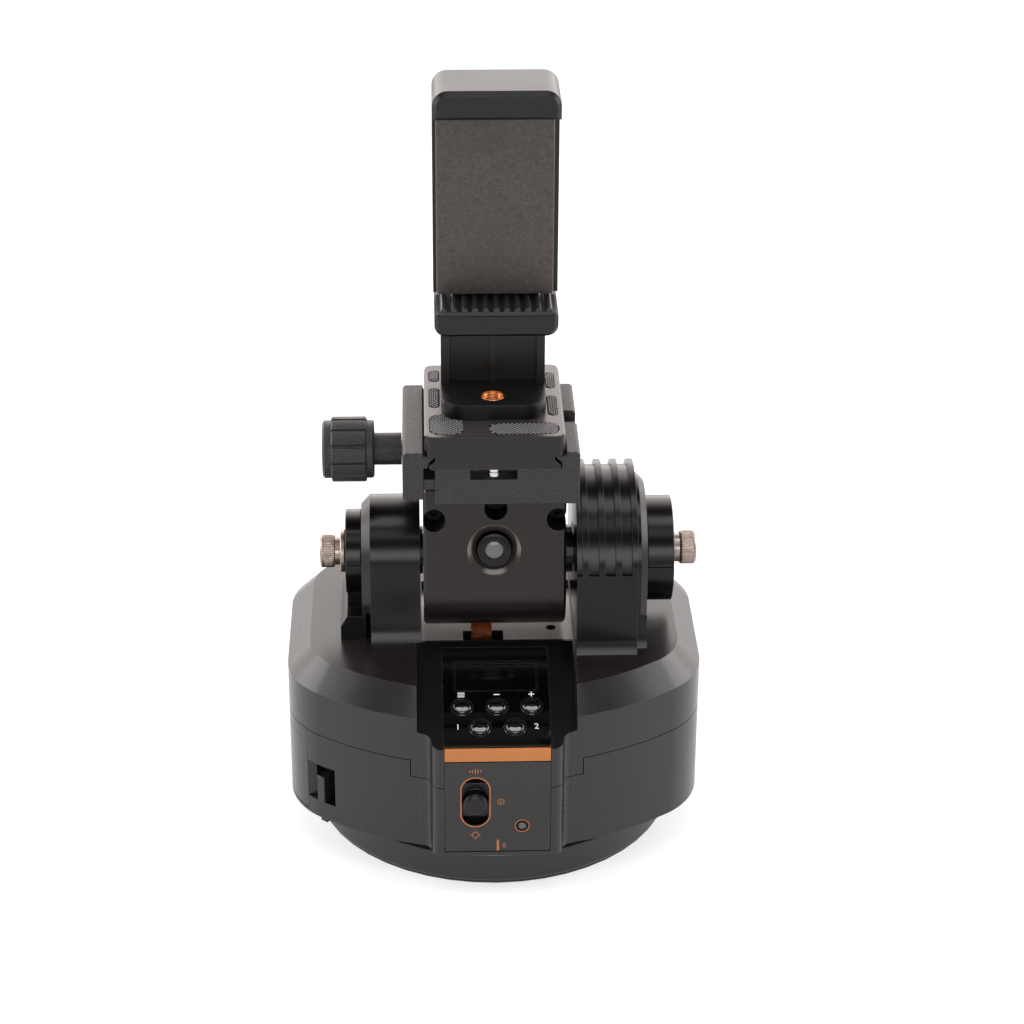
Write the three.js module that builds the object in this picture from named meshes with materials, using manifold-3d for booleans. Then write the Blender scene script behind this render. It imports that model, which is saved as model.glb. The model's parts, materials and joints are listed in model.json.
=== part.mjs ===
// Motorised pan and tilt head with a tracking camera, a quick-release clamp and a sprung phone clip.
// Millimetres, +Z up, front towards -Y. The origin is on the floor, on the pan axis.

import * as THREE from 'three';
import { mergeVertices } from 'three/addons/utils/BufferGeometryUtils.js';
import Module from 'manifold-3d';

// ---- driving dimensions -------------------------------------------------------------------

const GAP = 0.3;
const WALL = 2.5;

const BASE = { radius: 57, padTop: 1.2, top: 11.8, bore: 7.4 };
const BODY = {
  half: 63.5, corner: 26, arc: 86, arcCentre: 29,
  floor: 13, seam: 42.8, chamfer: 57.5, top: 64.5, deck: 61.5, deckHalfDepth: 19,
};
const SEAM_STEP = { half: 26, z: 37.05, front: -45 };
const BUMP = { half: 19.7, convex: 3, concave: 3.3, front: 60, rear: 62, top: 50.5, rise: 56 };
const SLOPE = { topY: -20, footY: -60, half: 24 };
const PANEL = { half: 16, from: 2.5, to: 40.8, thick: 1.2 };
const SCREEN = { half: 13.5, from: 6, to: 22 };
const BUTTON = { radius: 2.8, hole: 3.4, pitch: 10.5, rowOne: 25.9, rowTwo: 33.9, offset: 0.15 };
const FASCIA = { half: 15.8, bottom: 14.5, top: 46, thick: 1.1 };
const ACCENT = { bottom: 46.3, top: 50.4 };
const SWITCH = { x: -6.65, z: 32, knob: 3.7, slotHalf: 4, slotLow: 23.6, slotHigh: 40.5, proud: 2.2 };
const LED = { x: 7.4, z: 23.5, radius: 2 };
const DOOR = { bottom: 14.2, top: 38.3, front: -34.2, rear: 26.4, thick: 2.2 };
const LATCH = { x: -54.4, y: -37.3, turn: -41, near: -4.3, far: 6.6, deep: 4.6, bottom: 18.9, top: 32, tabTop: 28.5 };

const PAN = { teeth: 24, pinionTeeth: 8, module: 1.875, motor: 28, bearingOut: 20, journal: 14 };
const TILT_Z = 86;
const LEFT = { inner: -22.5, outer: -40.4, head: 17.6, hub: 13, hubOuter: -45.3, split: 87.5, sole: -47 };
const RIGHT = {
  inner: 24.8, outer: 43.3, core: 26.1, rib: 27.7, ribStart: 26.4, ribWidth: 1.8, ribPitch: 5, ribs: 4,
  grooveEnd: 90.6, shoulder: 23.4, shoulderOuter: 46.5, hub: 16.3, hubInner: 46.7, hubOuter: 55, split: 87.5,
};
const BLOCK = { left: -21.5, right: 21.8, bottom: 66, top: 114, corner: 14, cornerY: 7.5, lean: 10 };
const LENS = { z: 95.6, bezel: 7.9, barrel: 5.2, glass: 4.2 };

const CLAMP = { left: -17.8, right: 24.9, outer: 25.2, front: -25, back: 24, bottom: 114.2, top: 125.9 };
const JAW = { outer: 27.4, inner: 21.1, lip: 18, low: 115.9, high: 131.2 };
const KNOB = { z: 120.9, radius: 9.9, collar: 8.8, stem: 4.9, ribs: 12 };
const PLATE = {
  half: 20.8, front: -26, back: 25.4, top: 137, flange: 130.3, neck: 17.6, tail: 19.35, bottom: 126.2,
};
const CLIP = {
  half: 15.6, footFront: -15, footTop: 142, jawLow: 162.6, jawHigh: 169.1, jawHalf: 18.2,
  jawFront: -12, backLow: 171.8, upperLow: 229, upperHigh: 237.6, centre: 0.7,
};

const SLOPE_DROP = BODY.top - BUMP.top;
const SLOPE_RUN = SLOPE.topY - SLOPE.footY;
const SLOPE_ANGLE = Math.atan2(SLOPE_DROP, SLOPE_RUN);

// ---- finishes -----------------------------------------------------------------------------

const FINISH = {
  body: { color: 0x2b2827, roughness: 0.42, metalness: 0 },
  black: { color: 0x161414, roughness: 0.3, metalness: 0 },
  gloss: { color: 0x0b0b0c, roughness: 0.08, metalness: 0 },
  rubber: { color: 0x1b1a1a, roughness: 0.85, metalness: 0 },
  clamp: { color: 0x3b393a, roughness: 0.5, metalness: 0.7 },
  anodised: { color: 0x2a2524, roughness: 0.32, metalness: 0.6 },
  steel: { color: 0xb9b2aa, roughness: 0.3, metalness: 1 },
  brass: { color: 0xb98a4c, roughness: 0.35, metalness: 1 },
  copper: { color: 0xcd7d4b, roughness: 0.45, metalness: 0.2 },
  board: { color: 0x1f4a35, roughness: 0.6, metalness: 0 },
  glass: { color: 0x5b5a60, roughness: 0.05, metalness: 0 },
  film: { color: 0x8a4a22, roughness: 0.35, metalness: 0 },
  cell: { color: 0x2f5f8f, roughness: 0.4, metalness: 0 },
};

// ---- tools --------------------------------------------------------------------------------

const wasm = await Module();
wasm.setup();

function signedVolume(position, index) {
  let volume = 0;
  const a = new THREE.Vector3();
  const b = new THREE.Vector3();
  const c = new THREE.Vector3();
  for (let i = 0; i < index.length; i += 3) {
    a.fromBufferAttribute(position, index[i]);
    b.fromBufferAttribute(position, index[i + 1]);
    c.fromBufferAttribute(position, index[i + 2]);
    volume += a.dot(b.cross(c)) / 6;
  }
  return volume;
}

function toManifold(geometry) {
  const bare = new THREE.BufferGeometry();
  bare.setAttribute('position', geometry.attributes.position);
  bare.setIndex(geometry.index);
  const merged = mergeVertices(bare, 1e-4);
  const corners = merged.index.array;
  const index = [];
  for (let i = 0; i < corners.length; i += 3) {
    const [a, b, c] = [corners[i], corners[i + 1], corners[i + 2]];
    if (a !== b && b !== c && c !== a) {
      index.push(a, b, c);
    }
  }
  if (signedVolume(merged.attributes.position, index) < 0) {
    index.reverse();
  }
  return new wasm.Manifold(new wasm.Mesh({
    numProp: 3,
    vertProperties: new Float32Array(merged.attributes.position.array),
    triVerts: new Uint32Array(index),
  }));
}

function toGeometry(solid) {
  const mesh = solid.getMesh();
  const geometry = new THREE.BufferGeometry();
  geometry.setAttribute('position', new THREE.BufferAttribute(new Float32Array(mesh.vertProperties), 3));
  geometry.setIndex(new THREE.BufferAttribute(new Uint32Array(mesh.triVerts), 1));
  geometry.computeVertexNormals();
  return geometry;
}

function fuse(...pieces) {
  return toGeometry(pieces.map(toManifold).reduce((whole, piece) => whole.add(piece)));
}

function cut(piece, ...tools) {
  return toGeometry(tools.map(toManifold).reduce((whole, tool) => whole.subtract(tool), toManifold(piece)));
}

function common(one, other) {
  return toGeometry(toManifold(one).intersect(toManifold(other)));
}

function block(x0, x1, y0, y1, z0, z1) {
  const box = new THREE.BoxGeometry(x1 - x0, y1 - y0, z1 - z0);
  return box.translate((x0 + x1) / 2, (y0 + y1) / 2, (z0 + z1) / 2);
}

// A profile of [radius, height] points turned about an axis through the origin.
function turned(axis, profile, segments = 32) {
  const points = profile.map(([radius, height]) => new THREE.Vector2(radius, height));
  const lathe = new THREE.LatheGeometry(points, segments);
  if (axis === 'x') {
    lathe.rotateZ(-Math.PI / 2);
  }
  if (axis === 'z') {
    lathe.rotateX(Math.PI / 2);
  }
  return lathe;
}

function rod(axis, radius, from, to, segments = 32) {
  return turned(axis, [[0, from], [radius, from], [radius, to], [0, to]], segments);
}

function ring(axis, inner, outer, from, to, segments = 32) {
  return turned(axis, [[inner, from], [outer, from], [outer, to], [inner, to], [inner, from]], segments);
}

// An outline extruded between two places along an axis. For x the outline holds (y, z), for y it holds (x, z).
function extruded(axis, shape, from, to, { curveSegments = 4, chamfer = 0 } = {}) {
  const geometry = new THREE.ExtrudeGeometry(shape, {
    depth: to - from - 2 * chamfer,
    curveSegments,
    bevelEnabled: chamfer > 0,
    bevelThickness: chamfer,
    bevelSize: chamfer,
    bevelOffset: -chamfer,
    bevelSegments: 1,
  });
  geometry.translate(0, 0, from + chamfer);
  if (axis === 'x') {
    geometry.applyMatrix4(new THREE.Matrix4().set(0, 0, 1, 0, 1, 0, 0, 0, 0, 1, 0, 0, 0, 0, 0, 1));
  }
  if (axis === 'y') {
    geometry.applyMatrix4(new THREE.Matrix4().set(1, 0, 0, 0, 0, 0, 1, 0, 0, 1, 0, 0, 0, 0, 0, 1));
  }
  return geometry;
}

function polygon(points) {
  return new THREE.Shape(points.map(([x, y]) => new THREE.Vector2(x, y)));
}

function roundedRectangle(x0, x1, y0, y1, radius) {
  const shape = new THREE.Shape();
  shape.absarc(x1 - radius, y0 + radius, radius, -Math.PI / 2, 0);
  shape.absarc(x1 - radius, y1 - radius, radius, 0, Math.PI / 2);
  shape.absarc(x0 + radius, y1 - radius, radius, Math.PI / 2, Math.PI);
  shape.absarc(x0 + radius, y0 + radius, radius, Math.PI, 1.5 * Math.PI);
  return shape;
}

function addPart(group, name, geometry, finish) {
  const mesh = new THREE.Mesh(toGeometry(toManifold(geometry)), new THREE.MeshStandardMaterial(finish));
  mesh.name = name;
  group.add(mesh);
}

// ---- body shells --------------------------------------------------------------------------

// The plan of the body: bowed front and back, straight sides and round corners, drawn in by inset.
function bodyOutline(inset) {
  const cornerX = BODY.half - BODY.corner;
  const reach = BODY.arc - BODY.corner;
  const cornerY = Math.sqrt(reach ** 2 - cornerX ** 2) - BODY.arcCentre;
  const lean = Math.acos(cornerX / reach);
  const arc = BODY.arc - inset;
  const corner = BODY.corner - inset;
  const shape = new THREE.Shape();
  shape.absarc(0, BODY.arcCentre, arc, lean - Math.PI, -lean);
  shape.absarc(cornerX, -cornerY, corner, -lean, 0);
  shape.absarc(cornerX, cornerY, corner, 0, lean);
  shape.absarc(0, -BODY.arcCentre, arc, lean, Math.PI - lean);
  shape.absarc(-cornerX, cornerY, corner, Math.PI - lean, Math.PI);
  shape.absarc(-cornerX, -cornerY, corner, Math.PI, Math.PI + lean);
  return shape;
}

function bodyBlock(inset, bottom, top) {
  const chamfer = BODY.top - BODY.chamfer;
  const whole = extruded('z', bodyOutline(inset), bottom - 2 * chamfer, top, { chamfer, curveSegments: 6 });
  return cut(whole, block(-80, 80, -80, 80, bottom - 30, bottom));
}

function bodyRing(thick, bottom, top) {
  return cut(
    extruded('z', bodyOutline(0), bottom, top, { curveSegments: 6 }),
    extruded('z', bodyOutline(thick), bottom - 1, top + 1, { curveSegments: 6 }),
  );
}

// The front or rear bump in plan: a flat face, convex corners, and fillets that run into the body's bow.
function bumpOutline(reach, side) {
  const { half, convex, concave } = BUMP;
  const filletX = half + concave;
  const filletY = Math.sqrt((BODY.arc + concave) ** 2 - filletX ** 2) - BODY.arcCentre;
  const inside = 40;
  const shape = new THREE.Shape();
  shape.moveTo(-filletX, inside);
  shape.lineTo(filletX, inside);
  shape.lineTo(filletX, filletY - concave);
  shape.absarc(filletX, filletY, concave, -Math.PI / 2, -Math.PI, true);
  shape.absarc(half - convex, reach - convex, convex, 0, Math.PI / 2);
  shape.absarc(convex - half, reach - convex, convex, Math.PI / 2, Math.PI);
  shape.absarc(-filletX, filletY, concave, 0, -Math.PI / 2, true);
  const points = shape.getPoints(4).map((point) => [point.x, point.y * side]);
  return polygon(points);
}

// Everything above the sloping control face, lowered by drop.
function aboveSlope(half, drop) {
  const beyond = 30;
  const foot = BUMP.top - drop - beyond * Math.tan(SLOPE_ANGLE);
  return extruded('x', polygon([
    [SLOPE.topY, BODY.top - drop],
    [SLOPE.footY - beyond, foot],
    [SLOPE.footY - beyond, BODY.top + 40],
    [SLOPE.topY, BODY.top + 40],
  ]), -half, half);
}

function onSlope(geometry) {
  return geometry.rotateX(SLOPE_ANGLE).translate(0, SLOPE.topY, BODY.top);
}

function buttonPlaces() {
  const { pitch, rowOne, rowTwo, offset } = BUTTON;
  return [
    ['button_menu', offset - pitch, rowOne],
    ['button_minus', offset, rowOne],
    ['button_plus', offset + pitch, rowOne],
    ['button_one', offset - pitch / 2, rowTwo],
    ['button_two', offset + pitch / 2, rowTwo],
  ];
}

function slopeCutters() {
  const margin = 0.25;
  const pocket = block(
    -PANEL.half - margin, PANEL.half + margin, -PANEL.to - margin, -PANEL.from + margin, -PANEL.thick - 0.15, 3,
  );
  const window = block(-SCREEN.half - GAP, SCREEN.half + GAP, -SCREEN.to - GAP, -SCREEN.from + GAP, -8, 0);
  const holes = buttonPlaces().map(([, x, s]) => rod('z', BUTTON.hole + 0.2, -8, 2, 20).translate(x, -s, 0));
  return [pocket, window, ...holes].map(onSlope);
}

function frontCutters() {
  const { half, thick } = FASCIA;
  const front = -BUMP.front;
  const back = front + thick + 0.15;
  return [
    block(-half - 0.25, half + 0.25, front - 2, back, FASCIA.bottom - GAP, BUMP.top + 2),
    block(SWITCH.x - 5.4, SWITCH.x + 5.4, front, front + 3.4, 20, 44),
    rod('y', LED.radius + GAP, front, front + 3.2, 20).translate(LED.x, 0, LED.z),
  ];
}

function doorOpening() {
  return common(
    bodyRing(WALL + 0.1, DOOR.bottom - GAP, DOOR.top + GAP),
    block(-80, -44, DOOR.front - GAP, DOOR.rear + 1.2, 0, BODY.top),
  );
}

// Places a piece on the corner of the body ahead of the battery door: x along the wall, y inwards.
function atLatch(geometry) {
  return geometry.rotateZ(THREE.MathUtils.degToRad(LATCH.turn)).translate(LATCH.x, LATCH.y, 0);
}

function latchRecess() {
  return atLatch(block(LATCH.near, LATCH.far, -6, LATCH.deep, LATCH.bottom, LATCH.top));
}

function latchWall() {
  const backing = atLatch(block(LATCH.near - 0.1, LATCH.far + 1.6, 0.5, LATCH.deep + 1.6, BODY.floor + 1, LATCH.top + 2));
  const nub = atLatch(block(0.4, 2.8, 0.4, 2.4, BODY.floor - 1.4, BODY.floor + 1));
  return fuse(common(backing, bodyBlock(1, BODY.floor, BODY.top)), nub);
}

function shell() {
  const outer = fuse(
    bodyBlock(0, BODY.floor, BODY.top),
    cut(extruded('z', bumpOutline(BUMP.front, -1), BODY.floor, BUMP.rise), aboveSlope(40, 0)),
    extruded('z', bumpOutline(BUMP.rear, 1), BODY.floor, BUMP.top),
  );
  const slopeDrop = 4.3;
  const cavity = cut(
    bodyBlock(WALL, BODY.floor + WALL, BODY.top - WALL),
    aboveSlope(SLOPE.half + WALL, slopeDrop),
    block(-27, 27.3, -22, 22, BODY.deck - WALL, BODY.top),
  );
  const deck = block(LEFT.inner + 0.2, RIGHT.inner - 0.2, -BODY.deckHalfDepth, BODY.deckHalfDepth, BODY.deck, 70);
  const ribbonSlot = block(-9.5, 3, -16, -8, BODY.deck - 6, BODY.deck + 1);
  const deckHole = rod('z', 1.6, BODY.deck - 6, BODY.deck + 1, 16).translate(18, -6.4, 0);
  return cut(outer, cavity, aboveSlope(SLOPE.half, 0), deck, ribbonSlot, deckHole,
    ...slopeCutters(), ...frontCutters());
}

function seamZones() {
  const { half, z, front } = SEAM_STEP;
  const joint = GAP / 2;
  const lower = cut(
    block(-80, 80, -80, 80, 0, BODY.seam - joint),
    block(-half - joint, half + joint, -80, front + joint, z - joint, 60),
  );
  const upper = fuse(
    block(-80, 80, -80, 80, BODY.seam + joint, 90),
    block(-half + joint, half - joint, -80, front - joint, z + joint, BODY.seam + 1),
  );
  return { lower, upper };
}

function lowerShell(whole, zone) {
  const { bearingOut, motor } = PAN;
  const collar = ring('z', bearingOut + 0.2, bearingOut + 2.5, BODY.floor, 18.4);
  const postX = motor / 2 - 3;
  const post = (x) => rod('z', 3, BODY.floor + 1, 27, 16).translate(x, 41, 0);
  const tray = (y) => block(-56, -28, y - 1, y + 1, BODY.floor + 1, 18.3);
  const boss = fuse(common(whole, zone), collar, post(-postX), post(postX), tray(-20), tray(15), latchWall());
  const tunnel = block(-4.9, 4.9, 50, 64, 25, 29);
  return cut(boss, rod('z', bearingOut + 0.2, 0, 40, 32), doorOpening(), latchRecess(), tunnel);
}

function upperShell(whole, zone) {
  const boss = (x, y) => rod('z', 3, 54.9, BODY.top - 1.5, 16).translate(x, y, 0);
  return fuse(common(whole, zone), boss(-40, 24), boss(40, 24), boss(-40, -24), boss(40, -24));
}

function addShells(group) {
  const whole = shell();
  const zones = seamZones();
  addPart(group, 'lower_shell', lowerShell(whole, zones.lower), FINISH.body);
  addPart(group, 'upper_shell', upperShell(whole, zones.upper), FINISH.body);
}

// ---- base and pan drive -------------------------------------------------------------------

function gearOutline(teeth, module) {
  const root = (teeth / 2 - 1.15) * module;
  const tip = (teeth / 2 + 0.85) * module;
  const pitch = (2 * Math.PI) / teeth;
  const points = [];
  for (let i = 0; i < teeth; i += 1) {
    for (const [radius, side] of [[root, -0.29], [tip, -0.13], [tip, 0.13], [root, 0.29]]) {
      const angle = (i + side) * pitch;
      points.push([radius * Math.cos(angle), radius * Math.sin(angle)]);
    }
  }
  return polygon(points);
}

function addBase(group) {
  const { radius, padTop, top, bore } = BASE;
  addPart(group, 'base_disc', turned('z', [
    [bore, padTop], [radius - 0.6, padTop], [radius, padTop + 0.6], [radius, top - 1.2],
    [radius - 1.2, top], [bore, top], [bore, padTop],
  ], 48), FINISH.body);
  addPart(group, 'base_pad', ring('z', radius - 9, radius - 1, 0, padTop - 0.05, 48), FINISH.rubber);
  addPart(group, 'tripod_bush', turned('z', [
    [4.3, 0.8], [bore - 0.3, 0.8], [bore - 0.3, top - 0.2], [4.3, top - 0.2], [4.3, 0.8],
  ], 24), FINISH.steel);
  addPart(group, 'pan_spindle', turned('z', [
    [5, top + 0.1], [16, top + 0.1], [16, 13.1], [PAN.journal, 13.1], [PAN.journal, 18.8],
    [12, 18.8], [12, 29], [5, 29], [5, top + 0.1],
  ], 24), FINISH.steel);
  const gear = cut(extruded('z', gearOutline(PAN.teeth, PAN.module), 19.1, 24.6), rod('z', 12.5, 18, 26, 24));
  addPart(group, 'pan_ring_gear', gear, FINISH.brass);
}

function addPanDrive(group) {
  const centre = (PAN.module * (PAN.teeth + PAN.pinionTeeth)) / 2;
  const half = PAN.motor / 2;
  addPart(group, 'pan_bearing', ring('z', PAN.journal + 0.2, PAN.bearingOut, 13.4, 18.3, 24), FINISH.steel);
  const pinion = fuse(
    extruded('z', gearOutline(PAN.pinionTeeth, PAN.module), 19.3, 24.4),
    rod('z', 2.5, 16, 26.9, 16),
  );
  const facing = -Math.PI / 2 + Math.PI / PAN.pinionTeeth;
  addPart(group, 'pan_pinion', pinion.rotateZ(facing).translate(0, centre, 0), FINISH.brass);
  const motor = extruded('z', roundedRectangle(-half, half, -half, half, 4), 27.3, 48.8, { curveSegments: 3 });
  addPart(group, 'pan_motor', motor.translate(0, centre, 0), FINISH.steel);
}

function addElectronics(group) {
  const board = extruded('z', roundedRectangle(-46, 46, -34, 36, 5), 53, 54.6, { curveSegments: 3 });
  const chip = (x, y, half) => block(x - half, x + half, y - half, y + half, 51, 53.2);
  addPart(group, 'main_board', fuse(board, chip(-20, -10, 6), chip(24, -18, 5), chip(30, 12, 4)), FINISH.board);
  const pack = extruded('z', roundedRectangle(-57, -28, -29, 23, 4), 18.6, 37.4, { curveSegments: 4 });
  addPart(group, 'battery_pack', pack, FINISH.cell);
  const socket = cut(
    extruded('y', roundedRectangle(-4.5, 4.5, 25.4, 28.6, 1.5), 54, 61.6, { curveSegments: 4 }),
    extruded('y', roundedRectangle(-4.1, 4.1, 25.8, 28.2, 1.15), 56, 63, { curveSegments: 4 }),
  );
  addPart(group, 'usb_port', socket, FINISH.steel);
}

// ---- control face -------------------------------------------------------------------------

function addControls(group) {
  const slope = new THREE.Group();
  slope.position.set(0, SLOPE.topY, BODY.top);
  slope.rotation.x = SLOPE_ANGLE;
  group.add(slope);

  const places = buttonPlaces();
  const sheet = block(-PANEL.half, PANEL.half, -PANEL.to, -PANEL.from, -PANEL.thick, 0);
  const holes = places.map(([, x, s]) => rod('z', BUTTON.hole, -4, 2, 20).translate(x, -s, 0));
  addPart(slope, 'display_panel', cut(sheet, ...holes), FINISH.gloss);
  const screen = block(-SCREEN.half, SCREEN.half, -SCREEN.to, -SCREEN.from, -3.4, -PANEL.thick - 0.2);
  addPart(slope, 'display_screen', screen, FINISH.glass);
  addPart(slope, 'button_board', block(-14, 14, -36.2, -22.6, -6.2, -5.2), FINISH.board);
  for (const [name, x, s] of places) {
    const { radius } = BUTTON;
    const dome = turned('z', [
      [0, -3.9], [radius, -3.9], [radius, 0.3], [radius * 0.8, 0.85], [radius * 0.45, 1.1], [0, 1.2],
    ], 14);
    addPart(slope, name, dome.translate(x, -s, 0), FINISH.gloss);
  }
}

function addFascia(group) {
  const front = -BUMP.front;
  const { half, thick, bottom, top } = FASCIA;
  const slot = roundedRectangle(
    SWITCH.x - SWITCH.slotHalf, SWITCH.x + SWITCH.slotHalf, SWITCH.slotLow, SWITCH.slotHigh, SWITCH.slotHalf - 0.01,
  );
  const sheet = cut(
    block(-half, half, front, front + thick, bottom, top),
    extruded('y', slot, front - 1, front + 3, { curveSegments: 6 }),
    rod('y', LED.radius + GAP, front - 1, front + 3, 20).translate(LED.x, 0, LED.z),
  );
  addPart(group, 'front_fascia', sheet, FINISH.body);
  const strip = block(-half, half, front, front + thick, ACCENT.bottom, ACCENT.top);
  addPart(group, 'accent_strip', strip, FINISH.copper);
  const lamp = rod('y', LED.radius, front, front + 2.9, 20).translate(LED.x, 0, LED.z);
  addPart(group, 'status_led', lamp, FINISH.glass);
  const knob = fuse(
    turned('y', [
      [0, front - SWITCH.proud], [SWITCH.knob - 0.8, front - SWITCH.proud],
      [SWITCH.knob, front - SWITCH.proud + 0.8], [SWITCH.knob, front + 1.6], [0, front + 1.6],
    ], 24).translate(SWITCH.x, 0, SWITCH.z),
    block(SWITCH.x - 4.7, SWITCH.x + 4.7, front + 1.5, front + 2.5, SWITCH.z - 6, SWITCH.z + 6),
  );
  addPart(group, 'mode_switch', knob, FINISH.black);
}

function addBatteryDoor(group) {
  const { bottom, top, front, rear, thick } = DOOR;
  const panel = common(bodyRing(thick, bottom, top), block(-80, -44, front, rear, bottom, top));
  addPart(group, 'battery_door', panel, FINISH.body);
  const tab = block(0.3, 3.1, -0.9, LATCH.deep - GAP, LATCH.bottom + GAP, LATCH.tabTop);
  addPart(group, 'battery_latch', atLatch(tab), FINISH.black);
}

// ---- tilt yoke ----------------------------------------------------------------------------

function discOutline(radius, squareTo) {
  const shape = new THREE.Shape();
  shape.moveTo(-radius, squareTo);
  shape.lineTo(radius, squareTo);
  shape.absarc(0, TILT_Z, radius, 0, Math.PI);
  return shape;
}

function tiltRod(radius, from, to, segments = 32) {
  return rod('x', radius, from, to, segments).translate(0, 0, TILT_Z);
}

function flare(half, high, spread) {
  const shape = new THREE.Shape();
  shape.moveTo(-half, high);
  shape.quadraticCurveTo(-half, BODY.top + 4, -half - spread, BODY.top);
  shape.lineTo(half + spread, BODY.top);
  shape.quadraticCurveTo(half, BODY.top + 4, half, high);
  return shape;
}

function leftPillar() {
  const { inner, outer, head, hub, hubOuter, split, sole } = LEFT;
  const chamfer = 2.7;
  const body = common(
    extruded('x', discOutline(head, 50), outer, inner + 10, { curveSegments: 9, chamfer }),
    block(outer, inner, -30, 30, BODY.top, 130),
  );
  const foot = extruded('x', flare(head, 80, 3), outer + chamfer, inner, { curveSegments: 6 });
  const wedge = extruded('y', polygon([
    [outer + 1, BODY.top], [outer + 1, 72.5], [hubOuter + 0.3, 72.5], [sole, 69], [sole, BODY.top],
  ]), -head, head);
  const post = block(hubOuter + 0.3, outer + 1, -8, 8, 66, split - 0.2);
  const saddle = common(tiltRod(hub, hubOuter, outer + 1, 36), block(-60, 0, -20, 20, 60, split - 0.15));
  const seat = tiltRod(8.4, -29, 0, 18);
  const shaftWay = tiltRod(5.4, -35, 0, 18);
  return cut(fuse(body, foot, wedge, post, saddle), seat, shaftWay, tiltRod(2.4, -60, 0, 16));
}

function rightPillar() {
  const {
    inner, outer, core, rib, ribStart, ribWidth, ribPitch, ribs, grooveEnd, shoulder, shoulderOuter,
    hub, hubInner, hubOuter, split,
  } = RIGHT;
  const drum = extruded('x', discOutline(core, BODY.top), inner, outer, { curveSegments: 8 });
  const pieces = [drum];
  for (let i = 0; i < ribs; i += 1) {
    const start = ribStart + i * ribPitch;
    pieces.push(extruded('x', discOutline(rib, BODY.top), start, start + ribWidth, { curveSegments: 8 }));
  }
  const apron = common(
    extruded('x', discOutline(rib, BODY.top), inner, outer, { curveSegments: 8 }),
    block(inner, outer, -40, 40, BODY.top, grooveEnd),
  );
  const foot = extruded('x', flare(rib - 0.5, 74, 2), inner, outer, { curveSegments: 6 });
  const heel = extruded('x', flare(shoulder, 74, 2), outer - 1, shoulderOuter, { curveSegments: 6 });
  const collar = common(
    extruded('x', discOutline(shoulder, 40), inner, shoulderOuter, { curveSegments: 8, chamfer: 2 }),
    block(inner + 5, 60, -40, 40, BODY.top, 130),
  );
  const neck = tiltRod(hub - 2.5, shoulderOuter - 1, hubInner + 0.5, 20);
  const saddle = common(tiltRod(hub, hubInner, hubOuter, 40), block(40, 70, -20, 20, 60, split - 0.15));
  const seat = tiltRod(8.4, 0, 28, 18);
  const motorBay = tiltRod(19, 27.5, 41.6, 20);
  const wireWay = block(32, 38, -4, 4, BODY.top - 2, 70);
  const cap = common(tiltRod(hub - 2.4, hubInner - 0.2, hubOuter + 1, 32), block(40, 70, -20, 20, split, 110));
  const solid = fuse(...pieces, apron, foot, heel, collar, neck, saddle);
  return cut(solid, seat, motorBay, wireWay, cap, tiltRod(2.4, 30, 70, 16));
}

function addYoke(group) {
  addPart(group, 'left_pillar', leftPillar(), FINISH.black);
  addPart(group, 'right_pillar', rightPillar(), FINISH.black);
  const leftCap = cut(
    common(tiltRod(LEFT.hub, LEFT.hubOuter, LEFT.outer - 0.1, 36), block(-60, 0, -20, 20, LEFT.split, 110)),
    tiltRod(2.4, -60, 0, 16),
  );
  addPart(group, 'left_hub_cap', leftCap, FINISH.black);
  const rightCap = cut(
    tiltRod(RIGHT.hub, RIGHT.hubInner + 0.2, RIGHT.hubOuter, 40),
    block(0, 70, -20, 20, 0, RIGHT.split),
    tiltRod(2.4, 30, 70, 16),
  );
  addPart(group, 'right_hub_cap', rightCap, FINISH.black);
  addPart(group, 'tilt_motor', tiltRod(18, 29.4, 41.2, 20), FINISH.steel);
  const bearing = (from, to) => ring('x', 5.3, 8.1, from, to, 18).translate(0, 0, TILT_Z);
  addPart(group, 'tilt_bearing_left', bearing(-28.6, -24), FINISH.steel);
  addPart(group, 'tilt_bearing_right', bearing(25, 27.3), FINISH.steel);
}

function addThumbScrews(group) {
  const screw = (profile) => turned('x', profile, 18).translate(0, 0, TILT_Z);
  addPart(group, 'left_thumb_screw', screw([
    [0, -53.3], [4.6, -53.3], [5.1, -52.8], [5.1, -49.1], [4.7, -48.7], [4.3, -48.7], [4.3, -47],
    [6.6, -47], [6.6, -45.6], [2, -45.6], [2, -35.4], [0, -35.4],
  ]), FINISH.steel);
  addPart(group, 'right_thumb_screw', screw([
    [0, 43.5], [2, 43.5], [2, 55.3], [4.5, 55.3], [4.5, 57.8], [4.8, 57.8], [5.2, 58.2],
    [5.2, 62.4], [4.7, 62.9], [0, 62.9],
  ]), FINISH.steel);
}

// ---- tilt head ----------------------------------------------------------------------------

// Side outline of the block: flat base, round lower corners, and faces that lean in towards the top.
function tiltOutline() {
  const { bottom, top, corner, cornerY, lean } = BLOCK;
  const slant = THREE.MathUtils.degToRad(lean);
  const centreZ = bottom + corner;
  const edgeY = cornerY + corner * Math.cos(slant) - (top - centreZ - corner * Math.sin(slant)) * Math.tan(slant);
  const shape = new THREE.Shape();
  shape.absarc(cornerY, centreZ, corner, -Math.PI / 2, slant);
  shape.lineTo(edgeY, top);
  shape.lineTo(-edgeY, top);
  shape.absarc(-cornerY, centreZ, corner, Math.PI - slant, 1.5 * Math.PI);
  return shape;
}

function faceY(z) {
  const { bottom, corner, cornerY, lean } = BLOCK;
  const slant = THREE.MathUtils.degToRad(lean);
  return -(cornerY + corner / Math.cos(slant) - (z - bottom - corner) * Math.tan(slant));
}

function boltPlaces() {
  return [['block_bolt_left', -18.2, 105], ['block_bolt_right', 19.3, 105], ['block_bolt_centre', 0.5, 108.5]];
}

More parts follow.
